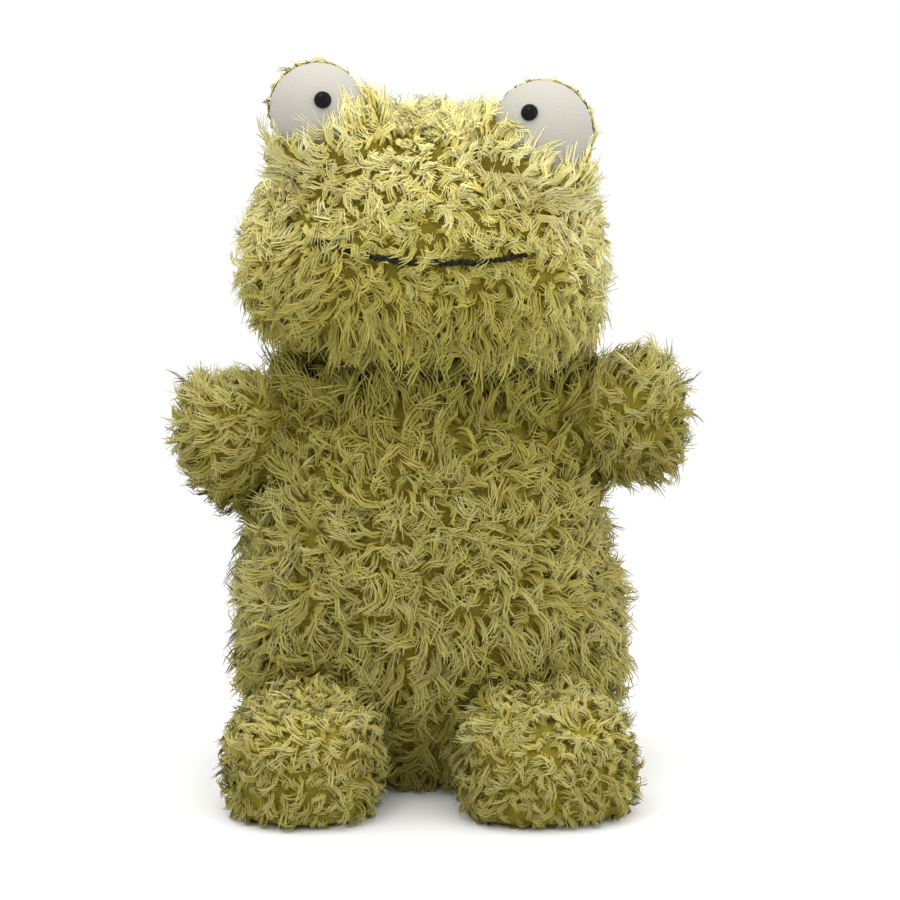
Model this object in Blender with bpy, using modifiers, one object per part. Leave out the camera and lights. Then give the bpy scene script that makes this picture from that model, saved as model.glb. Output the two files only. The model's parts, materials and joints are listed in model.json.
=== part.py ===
"""A seated plush frog, sewn from pile fabric over stuffing.

Lengths are in metres, angles in degrees, +Z is up and the frog looks along -Y. Left and
right are the frog's own. Every piece is one object of the collection Plush frog, and the
outside of a pile fabric piece is the mean surface of its pile. Each empty stands on the
axis of one joint, so turning it moves what hangs from it.
"""

import math

import bmesh
import bpy
from mathutils import Matrix, Vector

# Clearances
FIT_GAP = 0.0003
SEAM_GAP = 0.0003
LINING_GAP = 0.0006

# Pile fabric of the panels, pile included, and the thin plush of the eyes
PANEL_WALL = 0.0045
LIMB_WALL = 0.004
SOLE_WALL = 0.003
SEAT_WALL = 0.0045
EYE_WALL = 0.0016

# Body: a pear that is cut flat where it sits
BODY_Y = 0.0175
BODY_HEIGHT = 0.1712
BODY_SUNK = 0.005
BODY_WIDTH_LOW = 0.166
BODY_WIDTH_MIDDLE = 0.145
BODY_WIDTH_HIGH = 0.124
BODY_DEPTH_LOW = 0.1
BODY_DEPTH_MIDDLE = 0.12
BODY_DEPTH_HIGH = 0.094
BODY_PLAN_POWER = 2.4
BODY_PROFILE_POWER = 3.4

# Neck, where the head's stuffing meets the body's, dropped below the body's full height
NECK_DROP = 0.0156
NECK_X = -0.005
NECK_Z = BODY_HEIGHT - NECK_DROP
NECK_RADIUS = 0.024
NECK_CREASE_ANGLE = 6.5
HEAD_ROLL = 3.0

# Head, in a frame that stands on the neck and rolls with it
HEAD_BELOW_NECK = 0.006
HEAD_HEIGHT = 0.1
HEAD_WIDTH_LOW = 0.133
HEAD_WIDTH_MIDDLE = 0.138
HEAD_WIDTH_HIGH = 0.112
HEAD_DEPTH_LOW = 0.108
HEAD_DEPTH_MIDDLE = 0.116
HEAD_DEPTH_HIGH = 0.098
HEAD_PLAN_POWER = 2.4
HEAD_PROFILE_POWER = 3.1

# Eyes: a stuffed ball each, white in front and green behind, sewn down on the head. They
# stand in from its side, back from its face and down from its top
EYE_INSET = 0.0287
EYE_SET_BACK = 0.03
EYE_LEFT_DROP = 0.0062
EYE_RIGHT_DROP = 0.0027
EYE_TILT = 18.0
EYE_LEFT_RADIUS = 0.0183
EYE_RIGHT_RADIUS = 0.017

# Pupils: a plastic safety eye each, held by a washer behind the white fabric
PUPIL_RADIUS = 0.0031
PUPIL_RISE = 0.002
PUPIL_EDGE = 0.0004
SHANK_RADIUS = 0.0012
SHANK_LENGTH = 0.007
WASHER_RADIUS = 0.005
WASHER_THICKNESS = 0.0012
WASHER_SET_BACK = 0.0008
PUPIL_LEFT_YAW = -18.5
PUPIL_LEFT_PITCH = 26.0
PUPIL_RIGHT_YAW = 8.0
PUPIL_RIGHT_PITCH = 18.0

# Mouth: one heavy stitched thread that lies half in the face
MOUTH_WIDTH = 0.07
MOUTH_X = -0.001
MOUTH_Z = 0.0422
MOUTH_SAG = 0.0035
MOUTH_THREAD_RADIUS = 0.0013
MOUTH_SUNK = 0.0016
MOUTH_POINTS = 24

# Arms: a mitten each on a narrower root that turns in the body's side, in from its middle
# width, forward of its middle and down from its top
SHOULDER_INSET = 0.0175
SHOULDER_FORWARD = 0.008
SHOULDER_DROP = 0.04
SHOULDER_X = BODY_WIDTH_MIDDLE / 2 - SHOULDER_INSET
SHOULDER_Y = BODY_Y - SHOULDER_FORWARD
SHOULDER_Z = BODY_HEIGHT - SHOULDER_DROP
ARM_ROOT_RADIUS = 0.0205
ARM_FLANK_ANGLE = 60.0
ARM_BEHIND_ROOT = 0.02
ARM_REACH = 0.041
ARM_HEIGHT_ROOT = 0.054
ARM_HEIGHT_MIDDLE = 0.058
ARM_HEIGHT_TIP = 0.058
ARM_DEPTH_ROOT = 0.046
ARM_DEPTH_MIDDLE = 0.05
ARM_DEPTH_TIP = 0.05
ARM_SECTION_POWER = 2.1
ARM_LENGTH_POWER = 2.3
SHOULDER_CREASE_ANGLE = 0.0
SHOULDER_CREASE_REACH = 0.034
ARM_LEFT_RAISE = 8.0
ARM_RIGHT_RAISE = -16.0

# Legs: a foot each whose heel turns in the body's lower front, in from its lower width
# and back from its lower front
HIP_LEFT_INSET = 0.046
HIP_RIGHT_INSET = 0.0395
HIP_SET_BACK = 0.007
HIP_LEFT_X = BODY_WIDTH_LOW / 2 - HIP_LEFT_INSET
HIP_RIGHT_X = HIP_RIGHT_INSET - BODY_WIDTH_LOW / 2
HIP_Y = BODY_Y - BODY_DEPTH_LOW / 2 + HIP_SET_BACK
HIP_Z = 0.026
LEG_ROOT_RADIUS = 0.0255
LEG_FLANK_ANGLE = 70.0
LEG_BEHIND_ROOT = 0.0245
LEG_REACH = 0.052
LEG_HEIGHT = 0.061
LEG_HEIGHT_TIP = 0.055
LEG_SUNK = 0.0105
LEG_LEFT_WIDTH = 0.071
LEG_RIGHT_WIDTH = 0.0625
LEG_HEEL_WIDTH_SHARE = 0.82
LEG_TIP_WIDTH_SHARE = 0.98
LEG_SECTION_POWER = 2.8
LEG_LENGTH_POWER = 2.6
HIP_CREASE_ANGLE = 5.0
HIP_CREASE_REACH = 0.0415
LEG_LEFT_TOE_OUT = 12.0
LEG_RIGHT_TOE_OUT = 6.0

# How finely shapes are divided, as counts
TRUNK_CELLS = 5
LIMB_CELLS = 4
SMOOTHING = 1
SWELLING_ROUNDS = 4
BALL_SEGMENTS = 24
BALL_RINGS = 12
FILLING_SEGMENTS = 16
FILLING_RINGS = 8
TURN_STEPS = 24
CREASE_STEPS = 32
DOME_POINTS = 5
THREAD_SEGMENTS = 2

# How far cutting boxes reach past what they cut
CUTTER_REACH = 0.2

# Materials: a name, a colour and a roughness each
FUR = ("Shaggy fur", (0.32, 0.30, 0.075), 0.95)
SHORT_FUR = ("Sole fur", (0.26, 0.245, 0.06), 0.95)
EYE_PLUSH = ("Eye plush", (0.78, 0.78, 0.72), 0.9)
STUFFING = ("Stuffing", (0.86, 0.86, 0.84), 1.0)
THREAD = ("Mouth thread", (0.016, 0.022, 0.012), 0.8)
BLACK_PLASTIC = ("Black plastic", (0.008, 0.008, 0.009), 0.15)
CLEAR_PLASTIC = ("Clear plastic", (0.75, 0.75, 0.74), 0.4)


def clear_scene():
    for old in list(bpy.data.objects):
        bpy.data.objects.remove(old, do_unlink=True)


def new_collection(name):
    collection = bpy.data.collections.new(name)
    bpy.context.scene.collection.children.link(collection)
    return collection


clear_scene()
PIECES = new_collection("Plush frog")
CUTTERS = new_collection("Cutters")


def material(look):
    """The material of this look, made once."""
    name, colour, roughness = look
    found = bpy.data.materials.get(name)
    if found:
        return found
    made = bpy.data.materials.new(name)
    made.use_nodes = True
    shader = made.node_tree.nodes["Principled BSDF"]
    shader.inputs["Base Color"].default_value = (*colour, 1)
    shader.inputs["Roughness"].default_value = roughness
    shader.inputs["Metallic"].default_value = 0
    made.diffuse_color = (*colour, 1)
    return made


def frame(name, parent=None, location=(0, 0, 0), turns=(0, 0, 0)):
    """An empty to hang pieces from, turned by these angles about X, Y and Z."""
    empty = bpy.data.objects.new(name, None)
    PIECES.objects.link(empty)
    empty.empty_display_size = NECK_RADIUS
    empty.parent = parent
    empty.location = location
    empty.rotation_euler = [math.radians(turn) for turn in turns]
    return empty


def place(mesh, name, parent, look=None):
    """Turns a bmesh into an object: a piece if it has a look, else a cutter."""
    data = bpy.data.meshes.new(name)
    mesh.normal_update()
    bmesh.ops.recalc_face_normals(mesh, faces=mesh.faces[:])
    mesh.to_mesh(data)
    mesh.free()
    made = bpy.data.objects.new(name, data)
    made.parent = parent
    if look:
        PIECES.objects.link(made)
        data.materials.append(material(look))
    else:
        CUTTERS.objects.link(made)
        made.hide_render = True
        made.display_type = "WIRE"
    return made


def cut(piece, *cutters):
    for cutter in cutters:
        step = piece.modifiers.new("Cut by " + cutter.name, "BOOLEAN")
        step.operation = "DIFFERENCE"
        step.solver = "EXACT"
        step.object = cutter
    return piece


def smooth(piece):
    step = piece.modifiers.new("Smooth", "SUBSURF")
    step.levels = SMOOTHING
    step.render_levels = SMOOTHING
    return piece


def taper(sizes, share):
    """A size that runs through three values, at shares -1, 0 and 1 of a length."""
    low, middle, high = sizes
    return middle + (high - low) / 2 * share + ((high + low) / 2 - middle) * share**2


class Form:
    """A stuffed shape that swells and tapers along an axis.

    It is a squared-off ball, drawn out from start to end along the axis. With a root
    radius, what lies outside the flank angle from the axis shrinks to a ball about the
    origin, which can turn in a round seat.
    """

    def __init__(
        self, start, end, widths, depths, powers, axes=None, root=None, sunk=0
    ):
        self.middle = (start + end) / 2
        self.half = (end - start) / 2
        self.widths = widths
        self.depths = depths
        self.powers = powers
        self.axes = axes or Matrix.Identity(3)
        self.root = root
        self.sunk = sunk

    def point(self, direction):
        plan, profile = self.powers
        across = abs(direction.x) ** plan + abs(direction.y) ** plan
        size = across ** (profile / plan) + abs(direction.z) ** profile
        unit = direction / size ** (1 / profile)
        spot = Vector(
            (
                taper(self.widths, unit.z) / 2 * unit.x,
                taper(self.depths, unit.z) / 2 * unit.y - self.sunk,
                self.middle + self.half * unit.z,
            )
        )
        if self.root:
            radius, flank = self.root
            outside = spot.angle(Vector((0, 0, 1))) > math.radians(flank)
            if outside and spot.length > radius:
                spot *= radius / spot.length
        return self.axes @ spot

    def front(self, x, z):
        """The Y of the surface in front of this X and Z."""
        plan, profile = self.powers
        up = (z - self.middle) / self.half
        aside = 2 * x / taper(self.widths, up)
        ahead = (1 - abs(up) ** profile) ** (plan / profile) - abs(aside) ** plan
        return -taper(self.depths, up) / 2 * ahead ** (1 / plan)

    def mesh(self, cells, inset=0, smoothed=False):
        """A cube of cells by cells a face, drawn out to this form, then set in evenly.

        If it will be smoothed, it is swollen so that the smooth surface meets the form.
        """
        mesh = bmesh.new()
        bmesh.ops.create_cube(mesh, size=2)
        bmesh.ops.subdivide_edges(
            mesh, edges=mesh.edges[:], cuts=cells - 1, use_grid_fill=True
        )
        for corner in mesh.verts:
            even = [math.tan(math.pi / 4 * value) for value in corner.co]
            corner.co = self.point(Vector(even).normalized())
        mesh.normal_update()
        goal = [corner.co - corner.normal * inset for corner in mesh.verts]
        move(mesh, goal)
        for _ in range(SWELLING_ROUNDS if smoothed else 0):
            pairs = zip(mesh.verts, goal)
            move(mesh, [corner.co + spot - settled(corner) for corner, spot in pairs])
        if not smoothed:
            bmesh.ops.triangulate(mesh, faces=mesh.faces[:], quad_method="FIXED")
        return mesh


def move(mesh, spots):
    for corner, spot in zip(mesh.verts, spots):
        corner.co = spot


def settled(corner):
    """Where one round of smoothing leaves this corner of a closed mesh of quads."""
    count = len(corner.link_edges)
    faces = sum((face.calc_center_median() for face in corner.link_faces), Vector())
    ends = [edge.other_vert(corner).co + corner.co for edge in corner.link_edges]
    edges = sum(ends, Vector())
    return (faces / count + edges / count + (count - 3) * corner.co) / count


def ball(radius, segments=BALL_SEGMENTS, rings=BALL_RINGS):
    mesh = bmesh.new()
    bmesh.ops.create_uvsphere(
        mesh, u_segments=segments, v_segments=rings, radius=radius
    )
    return mesh


def seat_radius(radius):
    """The radius of a faceted seat that stays clear of a ball, however the ball turns."""
    return (radius + FIT_GAP) / math.cos(math.pi / BALL_SEGMENTS) ** 2


def box(low, high):
    """A box between two opposite corners."""
    low = Vector(low)
    high = Vector(high)
    size = Matrix.Diagonal((*(high - low), 1))
    middle = Matrix.Translation((high + low) / 2)
    mesh = bmesh.new()
    bmesh.ops.create_cube(mesh, size=1, matrix=middle @ size)
    return mesh


def half_space(name, parent, axis, side, start):
    """A cutter over everything past start on one side of an axis."""
    low = [-CUTTER_REACH] * 3
    high = [CUTTER_REACH] * 3
    if side > 0:
        low[axis] = start
    else:
        high[axis] = start
    return place(box(low, high), name, parent)


def turned(name, parent, profile, steps, look=None):
    """A profile in X and Z, listed from the top down, turned about Z into a solid."""
    mesh = bmesh.new()
    corners = [mesh.verts.new((x, 0, z)) for x, z in profile]
    for first, second in zip(corners, corners[1:]):
        mesh.edges.new((first, second))
    if profile[0][0] > 0:
        mesh.edges.new((corners[-1], corners[0]))
    made = place(mesh, name, parent, look)
    step = made.modifiers.new("Turn", "SCREW")
    step.steps = steps
    step.render_steps = steps
    step.use_merge_vertices = True
    step.merge_threshold = FIT_GAP / 10
    return made


def make_trunk():
    """The body's two panels and its stuffing, and the frames that the rest hangs from."""
    form = Form(
        -BODY_SUNK,
        BODY_HEIGHT - BODY_SUNK,
        (BODY_WIDTH_LOW, BODY_WIDTH_MIDDLE, BODY_WIDTH_HIGH),
        (BODY_DEPTH_LOW, BODY_DEPTH_MIDDLE, BODY_DEPTH_HIGH),
        (BODY_PLAN_POWER, BODY_PROFILE_POWER),
    )
    centre = frame("body_frame", location=(0, BODY_Y, 0))
    neck = frame("neck_turn", location=(NECK_X, BODY_Y, NECK_Z))
    shoulder = (ARM_ROOT_RADIUS, SHOULDER_CREASE_ANGLE, SHOULDER_CREASE_REACH)
    hip = (LEG_ROOT_RADIUS, HIP_CREASE_ANGLE, HIP_CREASE_REACH)
    sockets = [
        *socket("shoulder", SHOULDER_X, SHOULDER_Y, SHOULDER_Z, (0, 90, 0), shoulder),
        *socket("shoulder", -SHOULDER_X, SHOULDER_Y, SHOULDER_Z, (0, -90, 0), shoulder),
        *socket("hip", HIP_LEFT_X, HIP_Y, HIP_Z, (90, 0, LEG_LEFT_TOE_OUT), hip),
        *socket("hip", HIP_RIGHT_X, HIP_Y, HIP_Z, (90, 0, -LEG_RIGHT_TOE_OUT), hip),
    ]
    seats = [
        place(ball(seat_radius(NECK_RADIUS)), "Neck seat in body", neck),
        crease("Crease over body", neck, -1, NECK_CREASE_ANGLE, CUTTER_REACH),
        *sockets,
    ]
    floor = half_space("Floor", centre, 2, -1, 0)
    inside = place(form.mesh(TRUNK_CELLS, PANEL_WALL), "Inside of body", centre)
    cut(inside, half_space("Seat panel", centre, 2, -1, SEAT_WALL))
    for name, side in (("body_front_skin", 1), ("body_back_skin", -1)):
        skin = place(form.mesh(TRUNK_CELLS, smoothed=True), name, centre, FUR)
        other = half_space("Beyond " + name, centre, 1, side, -side * SEAM_GAP / 2)
        cut(smooth(skin), inside, other, floor, *seats)
    filling = place(
        form.mesh(TRUNK_CELLS, PANEL_WALL + LINING_GAP),
        "body_filling",
        centre,
        STUFFING,
    )
    seat = half_space("Under body filling", centre, 2, -1, SEAT_WALL + LINING_GAP)
    cut(filling, seat, *seats)
    return neck


def socket(name, x, y, z, turns, sizes):
    """Cutters for a round seat and the crease about it, facing along a turned Z."""
    radius, opening, reach = sizes
    joint = frame("Outward of " + name, None, (x, y, z), turns)
    seat = place(ball(seat_radius(radius)), "Seat at " + name, joint)
    return seat, crease("Crease at " + name, joint, -1, opening, reach)


def crease(name, parent, side, opening, reach):
    """A cutter beyond a wide cone about Z, which keeps a joint clear as it moves.

    Side 1 cuts below the cone and side -1 above it. The opening is how far the cone's
    wall leans away from what is cut.
    """
    rise = reach * math.tan(math.radians(opening))
    profile = [
        (0, 0),
        (reach, side * rise),
        (reach, -side * CUTTER_REACH),
        (0, -side * CUTTER_REACH),
    ]
    return turned(name, parent, profile[::side], CREASE_STEPS)


def make_head(neck):
    """The neck's plug of stuffing, and the head's panels, stuffing and stitched mouth."""
    place(ball(NECK_RADIUS), "neck_filling", neck, STUFFING)
    nod = frame("head_nod", neck, turns=(0, HEAD_ROLL, 0))
    form = Form(
        -HEAD_BELOW_NECK,
        HEAD_HEIGHT - HEAD_BELOW_NECK,
        (HEAD_WIDTH_LOW, HEAD_WIDTH_MIDDLE, HEAD_WIDTH_HIGH),
        (HEAD_DEPTH_LOW, HEAD_DEPTH_MIDDLE, HEAD_DEPTH_HIGH),
        (HEAD_PLAN_POWER, HEAD_PROFILE_POWER),
    )
    seats = [
        place(ball(seat_radius(NECK_RADIUS)), "Neck seat in head", nod),
        crease("Crease under head", nod, 1, NECK_CREASE_ANGLE, CUTTER_REACH),
    ]
    inside = place(form.mesh(TRUNK_CELLS, PANEL_WALL), "Inside of head", nod)
    groove = mouth(form, nod)
    for name, side in (("head_face_skin", 1), ("head_back_skin", -1)):
        skin = place(form.mesh(TRUNK_CELLS, smoothed=True), name, nod, FUR)
        other = half_space("Beyond " + name, nod, 1, side, -side * SEAM_GAP / 2)
        cut(smooth(skin), inside, other, *seats)
        if side > 0:
            cut(skin, groove)
    filling = place(
        form.mesh(TRUNK_CELLS, PANEL_WALL + LINING_GAP),
        "head_filling",
        nod,
        STUFFING,
    )
    cut(filling, *seats)
    under_eyes = smooth(place(form.mesh(TRUNK_CELLS, -FIT_GAP, True), "Under eyes", nod))
    return nod, under_eyes


def tube(name, parent, spots, radius):
    """A round thread through these points, as a mesh."""
    line = bpy.data.curves.new(name, "CURVE")
    line.dimensions = "3D"
    line.bevel_depth = radius
    line.bevel_resolution = THREAD_SEGMENTS
    line.use_fill_caps = True
    spline = line.splines.new("POLY")
    spline.points.add(len(spots) - 1)
    for point, spot in zip(spline.points, spots):
        point.co = (*spot, 1)
    guide = bpy.data.objects.new(name + " guide", line)
    CUTTERS.objects.link(guide)
    mesh = bmesh.new()
    mesh.from_mesh(bpy.data.meshes.new_from_object(guide))
    bpy.data.objects.remove(guide)
    bmesh.ops.remove_doubles(mesh, verts=mesh.verts[:], dist=FIT_GAP / 10)
    return mesh


def mouth(form, nod):
    """The mouth's thread. It returns the groove that the thread lies in."""
    spots = []
    for step in range(MOUTH_POINTS + 1):
        share = 2 * step / MOUTH_POINTS - 1
        x = MOUTH_X + MOUTH_WIDTH / 2 * share
        z = MOUTH_Z + MOUTH_SAG * share**2
        spots.append((x, form.front(x, z) + MOUTH_SUNK, z))
    thread = tube("mouth_stitch", nod, spots, MOUTH_THREAD_RADIUS)
    place(thread, "mouth_stitch", nod, THREAD)
    groove = tube("Mouth groove", nod, spots, MOUTH_THREAD_RADIUS + FIT_GAP)
    return place(groove, "Mouth groove", nod)


def make_eye(side_name, nod, under_eyes, side, drop, radius, yaw, pitch):
    """One eye: its white and green halves, its stuffing, its pupil and its washer."""
    x = side * (HEAD_WIDTH_MIDDLE / 2 - EYE_INSET)
    y = EYE_SET_BACK - HEAD_DEPTH_MIDDLE / 2
    spot = (x, y, HEAD_HEIGHT - HEAD_BELOW_NECK - drop)
    eye = frame("eye_" + side_name, nod, spot, (-EYE_TILT, 0, 0))
    look = frame("pupil_axis_" + side_name, nod, spot, (90 - pitch, 0, yaw))
    inner = radius - EYE_WALL
    back_of_plastic = radius + FIT_GAP
    hole = place(
        rod(SHANK_RADIUS + FIT_GAP, 0, back_of_plastic), "Hole " + side_name, look
    )
    inside = place(ball(inner), "Inside of eye " + side_name, eye)
    for name, facing, cloth in (
        ("eye_white_" + side_name, 1, EYE_PLUSH),
        ("eye_back_" + side_name, -1, FUR),
    ):
        shell = place(ball(radius), name, eye, cloth)
        start = -facing * SEAM_GAP / 2
        other = half_space("Beyond " + name, eye, 1, facing, start)
        cut(shell, inside, other, under_eyes)
        if facing > 0:
            cut(shell, hole)
    filling = place(
        ball(inner - LINING_GAP, FILLING_SEGMENTS, FILLING_RINGS),
        "eye_filling_" + side_name,
        eye,
        STUFFING,
    )
    washer_back = inner - LINING_GAP - WASHER_SET_BACK - WASHER_THICKNESS
    pocket = place(
        rod(WASHER_RADIUS + FIT_GAP, washer_back - FIT_GAP, radius),
        "Washer pocket " + side_name,
        look,
    )
    cut(filling, under_eyes, pocket, hole)
    ring = [
        (SHANK_RADIUS + FIT_GAP, washer_back + WASHER_THICKNESS),
        (WASHER_RADIUS, washer_back + WASHER_THICKNESS),
        (WASHER_RADIUS, washer_back),
        (SHANK_RADIUS + FIT_GAP, washer_back),
    ]
    turned("pupil_washer_" + side_name, look, ring, TURN_STEPS, CLEAR_PLASTIC)
    edge = back_of_plastic + PUPIL_EDGE
    dome = [(0, edge + PUPIL_RISE)]
    for step in range(1, DOME_POINTS):
        turn = math.pi / 2 * step / (DOME_POINTS - 1)
        dome.append((PUPIL_RADIUS * math.sin(turn), edge + PUPIL_RISE * math.cos(turn)))
    dome += [
        (PUPIL_RADIUS, back_of_plastic),
        (SHANK_RADIUS, back_of_plastic),
        (SHANK_RADIUS, back_of_plastic - SHANK_LENGTH),
        (0, back_of_plastic - SHANK_LENGTH),
    ]
    turned("pupil_" + side_name, look, dome, TURN_STEPS, BLACK_PLASTIC)


def rod(radius, start, end):
    """A round bar along Z between two heights."""
    mesh = bmesh.new()
    bmesh.ops.create_cone(
        mesh,
        cap_ends=True,
        segments=TURN_STEPS,
        radius1=radius,
        radius2=radius,
        depth=end - start,
        matrix=Matrix.Translation((0, 0, (start + end) / 2)),
    )
    return mesh


def make_arm(side_name, side, raised):
    """One arm: a front and a back panel over stuffing."""
    shoulder = frame(
        "arm_raise_" + side_name,
        None,
        (side * SHOULDER_X, SHOULDER_Y, SHOULDER_Z),
        (0, -side * raised, 0),
    )
    axes = Matrix(((0, 0, side), (0, 1, 0), (-side, 0, 0)))
    form = Form(
        -ARM_BEHIND_ROOT,
        ARM_REACH,
        (ARM_HEIGHT_ROOT, ARM_HEIGHT_MIDDLE, ARM_HEIGHT_TIP),
        (ARM_DEPTH_ROOT, ARM_DEPTH_MIDDLE, ARM_DEPTH_TIP),
        (ARM_SECTION_POWER, ARM_LENGTH_POWER),
        axes,
        (ARM_ROOT_RADIUS, ARM_FLANK_ANGLE),
    )
    inside = place(
        form.mesh(LIMB_CELLS, LIMB_WALL), "Inside of arm " + side_name, shoulder
    )
    for name, facing in (("arm_front_skin_", 1), ("arm_back_skin_", -1)):
        name += side_name
        skin = place(form.mesh(LIMB_CELLS, smoothed=True), name, shoulder, FUR)
        start = -facing * SEAM_GAP / 2
        other = half_space("Beyond " + name, shoulder, 1, facing, start)
        cut(smooth(skin), inside, other)
    place(
        form.mesh(LIMB_CELLS, LIMB_WALL + LINING_GAP),
        "arm_filling_" + side_name,
        shoulder,
        STUFFING,
    )


def make_leg(side_name, x, width, toe_out):
    """One leg: an upper panel and a flat sole over stuffing."""
    hip = frame("leg_raise_" + side_name, None, (x, HIP_Y, HIP_Z), (0, 0, toe_out))
    axes = Matrix(((1, 0, 0), (0, 0, -1), (0, 1, 0)))
    form = Form(
        -LEG_BEHIND_ROOT,
        LEG_REACH,
        (LEG_HEEL_WIDTH_SHARE * width, width, LEG_TIP_WIDTH_SHARE * width),
        (LEG_HEIGHT, LEG_HEIGHT, LEG_HEIGHT_TIP),
        (LEG_SECTION_POWER, LEG_LENGTH_POWER),
        axes,
        (LEG_ROOT_RADIUS, LEG_FLANK_ANGLE),
        LEG_SUNK,
    )
    floor = half_space("Floor under leg " + side_name, hip, 2, -1, -HIP_Z)
    low = SOLE_WALL - HIP_Z
    over_sole = half_space("Over sole " + side_name, hip, 2, 1, low)
    under_upper = half_space("Under upper " + side_name, hip, 2, -1, low + FIT_GAP)
    under_inside = half_space("Under inside " + side_name, hip, 2, -1, low)
    under_filling = half_space(
        "Under leg filling " + side_name, hip, 2, -1, low + LINING_GAP
    )
    inside = place(form.mesh(LIMB_CELLS, LIMB_WALL), "Inside of leg " + side_name, hip)
    cut(inside, under_inside)
    upper = place(
        form.mesh(LIMB_CELLS, smoothed=True), "leg_upper_skin_" + side_name, hip, FUR
    )
    cut(smooth(upper), inside, under_upper)
    sole = place(
        form.mesh(LIMB_CELLS, smoothed=True), "leg_sole_" + side_name, hip, SHORT_FUR
    )
    cut(smooth(sole), floor, over_sole)
    filling = place(
        form.mesh(LIMB_CELLS, LIMB_WALL + LINING_GAP),
        "leg_filling_" + side_name,
        hip,
        STUFFING,
    )
    cut(filling, under_filling)


def main():
    neck = make_trunk()
    nod, under_eyes = make_head(neck)
    make_eye(
        "left",
        nod,
        under_eyes,
        1,
        EYE_LEFT_DROP,
        EYE_LEFT_RADIUS,
        PUPIL_LEFT_YAW,
        PUPIL_LEFT_PITCH,
    )
    make_eye(
        "right",
        nod,
        under_eyes,
        -1,
        EYE_RIGHT_DROP,
        EYE_RIGHT_RADIUS,
        PUPIL_RIGHT_YAW,
        PUPIL_RIGHT_PITCH,
    )
    make_arm("left", 1, ARM_LEFT_RAISE)
    make_arm("right", -1, ARM_RIGHT_RAISE)
    make_leg("left", HIP_LEFT_X, LEG_LEFT_WIDTH, LEG_LEFT_TOE_OUT)
    make_leg("right", HIP_RIGHT_X, LEG_RIGHT_WIDTH, -LEG_RIGHT_TOE_OUT)


main()
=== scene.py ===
"""A seated plush frog in shaggy green pile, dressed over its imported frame.

Every stuffed part gets a backing cloth that is drawn from its solids, and the pile grows on
that cloth as locks of tapered strands. Lengths are in metres, +Z is up and the frog looks
along -Y. Left and right are the frog's own. A band is a pair of values between which
something comes in, from none at the first to all at the second.
"""

import json
import math

import bmesh
import bpy
import numpy as np
from bpy.props import FloatProperty, FloatVectorProperty, IntProperty, PointerProperty
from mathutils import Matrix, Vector
from mathutils.bvhtree import BVHTree

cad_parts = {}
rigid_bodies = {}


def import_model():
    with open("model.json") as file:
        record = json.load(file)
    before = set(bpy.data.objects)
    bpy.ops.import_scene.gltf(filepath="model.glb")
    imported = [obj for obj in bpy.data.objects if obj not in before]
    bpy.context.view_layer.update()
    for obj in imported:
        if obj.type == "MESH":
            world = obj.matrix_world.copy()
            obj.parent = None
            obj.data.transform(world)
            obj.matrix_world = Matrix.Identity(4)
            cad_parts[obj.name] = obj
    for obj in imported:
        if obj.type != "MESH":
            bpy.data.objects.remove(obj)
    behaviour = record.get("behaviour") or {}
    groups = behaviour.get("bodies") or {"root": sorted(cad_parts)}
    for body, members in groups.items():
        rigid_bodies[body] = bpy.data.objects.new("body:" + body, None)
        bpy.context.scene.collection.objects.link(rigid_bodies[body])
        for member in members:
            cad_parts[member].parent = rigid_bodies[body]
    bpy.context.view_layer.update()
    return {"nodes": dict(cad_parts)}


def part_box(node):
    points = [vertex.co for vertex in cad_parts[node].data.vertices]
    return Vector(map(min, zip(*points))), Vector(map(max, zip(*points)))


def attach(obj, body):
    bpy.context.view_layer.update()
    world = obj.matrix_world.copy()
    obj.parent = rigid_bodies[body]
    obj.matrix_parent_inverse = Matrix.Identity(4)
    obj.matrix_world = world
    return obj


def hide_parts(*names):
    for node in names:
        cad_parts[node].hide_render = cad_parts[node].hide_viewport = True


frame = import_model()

bl_info = {
    "name": "Plush frog",
    "version": (1, 0, 0),
    "blender": (4, 5, 0),
    "location": "3D View > Sidebar > Plush frog",
    "description": "Dresses the frame of a plush frog in its pile, eyes and mouth",
    "category": "Object",
}


# Sizes and colours that a user would change


def distance(name, description, default):
    return FloatProperty(
        name=name,
        description=description,
        default=default,
        min=0,
        precision=5,
        subtype="DISTANCE",
        unit="LENGTH",
    )


def number(name, description, default, low=2):
    return IntProperty(name=name, description=description, default=default, min=low)


def share(name, description, default, low=0.0, high=4.0):
    return FloatProperty(name=name, description=description, default=default, min=low, max=high)


def colour(name, description, default):
    return FloatVectorProperty(
        name=name, description=description, default=default, size=3, min=0, max=1, subtype="COLOR"
    )


# Sizes that the tree of the locks takes as inputs
LOCK_SIZES = {
    "strands": (number, "Strands a lock", "Strands that grow from one root"),
    "points": (number, "Points a strand", "Points along one strand"),
    "spacing": (distance, "Spacing", "Between the roots of two locks"),
    "length": (distance, "Length", "Length of a lock"),
    "width": (distance, "Strand width", "Radius of a strand at its root"),
    "spread": (distance, "Lock root", "Radius of a lock's root"),
    "lift": (share, "Lift", "How far a lock stands up, of its length"),
    "lean": (share, "Lean", "How far a lock runs along the cloth, of its length"),
    "curl": (distance, "Curl", "Radius of the curl"),
    "turns": (share, "Turns", "Turns of the curl along a lock"),
    "stray": (share, "Stray", "How far a strand leaves its lock, of its length"),
    "gather": (share, "Gather", "How far the strands of a lock meet at its tip"),
    "swirl": (distance, "Swirl", "Size of the patches that lie one way"),
}

PILE_SIZES = LOCK_SIZES | {
    "inset": (distance, "Inset", "From the pile's mean surface in to the cloth"),
    "comb": (share, "Comb", "How strongly the pile is combed down, or up on the chest"),
    "brightness": (share, "Brightness", "Of the pile's colours"),
}


def pile_sizes(**defaults):
    """The properties of one kind of pile, with these defaults."""
    made = {}
    for key, default in defaults.items():
        kind, name, description = PILE_SIZES[key]
        made[key] = kind(name, description, default)
    return made


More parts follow.
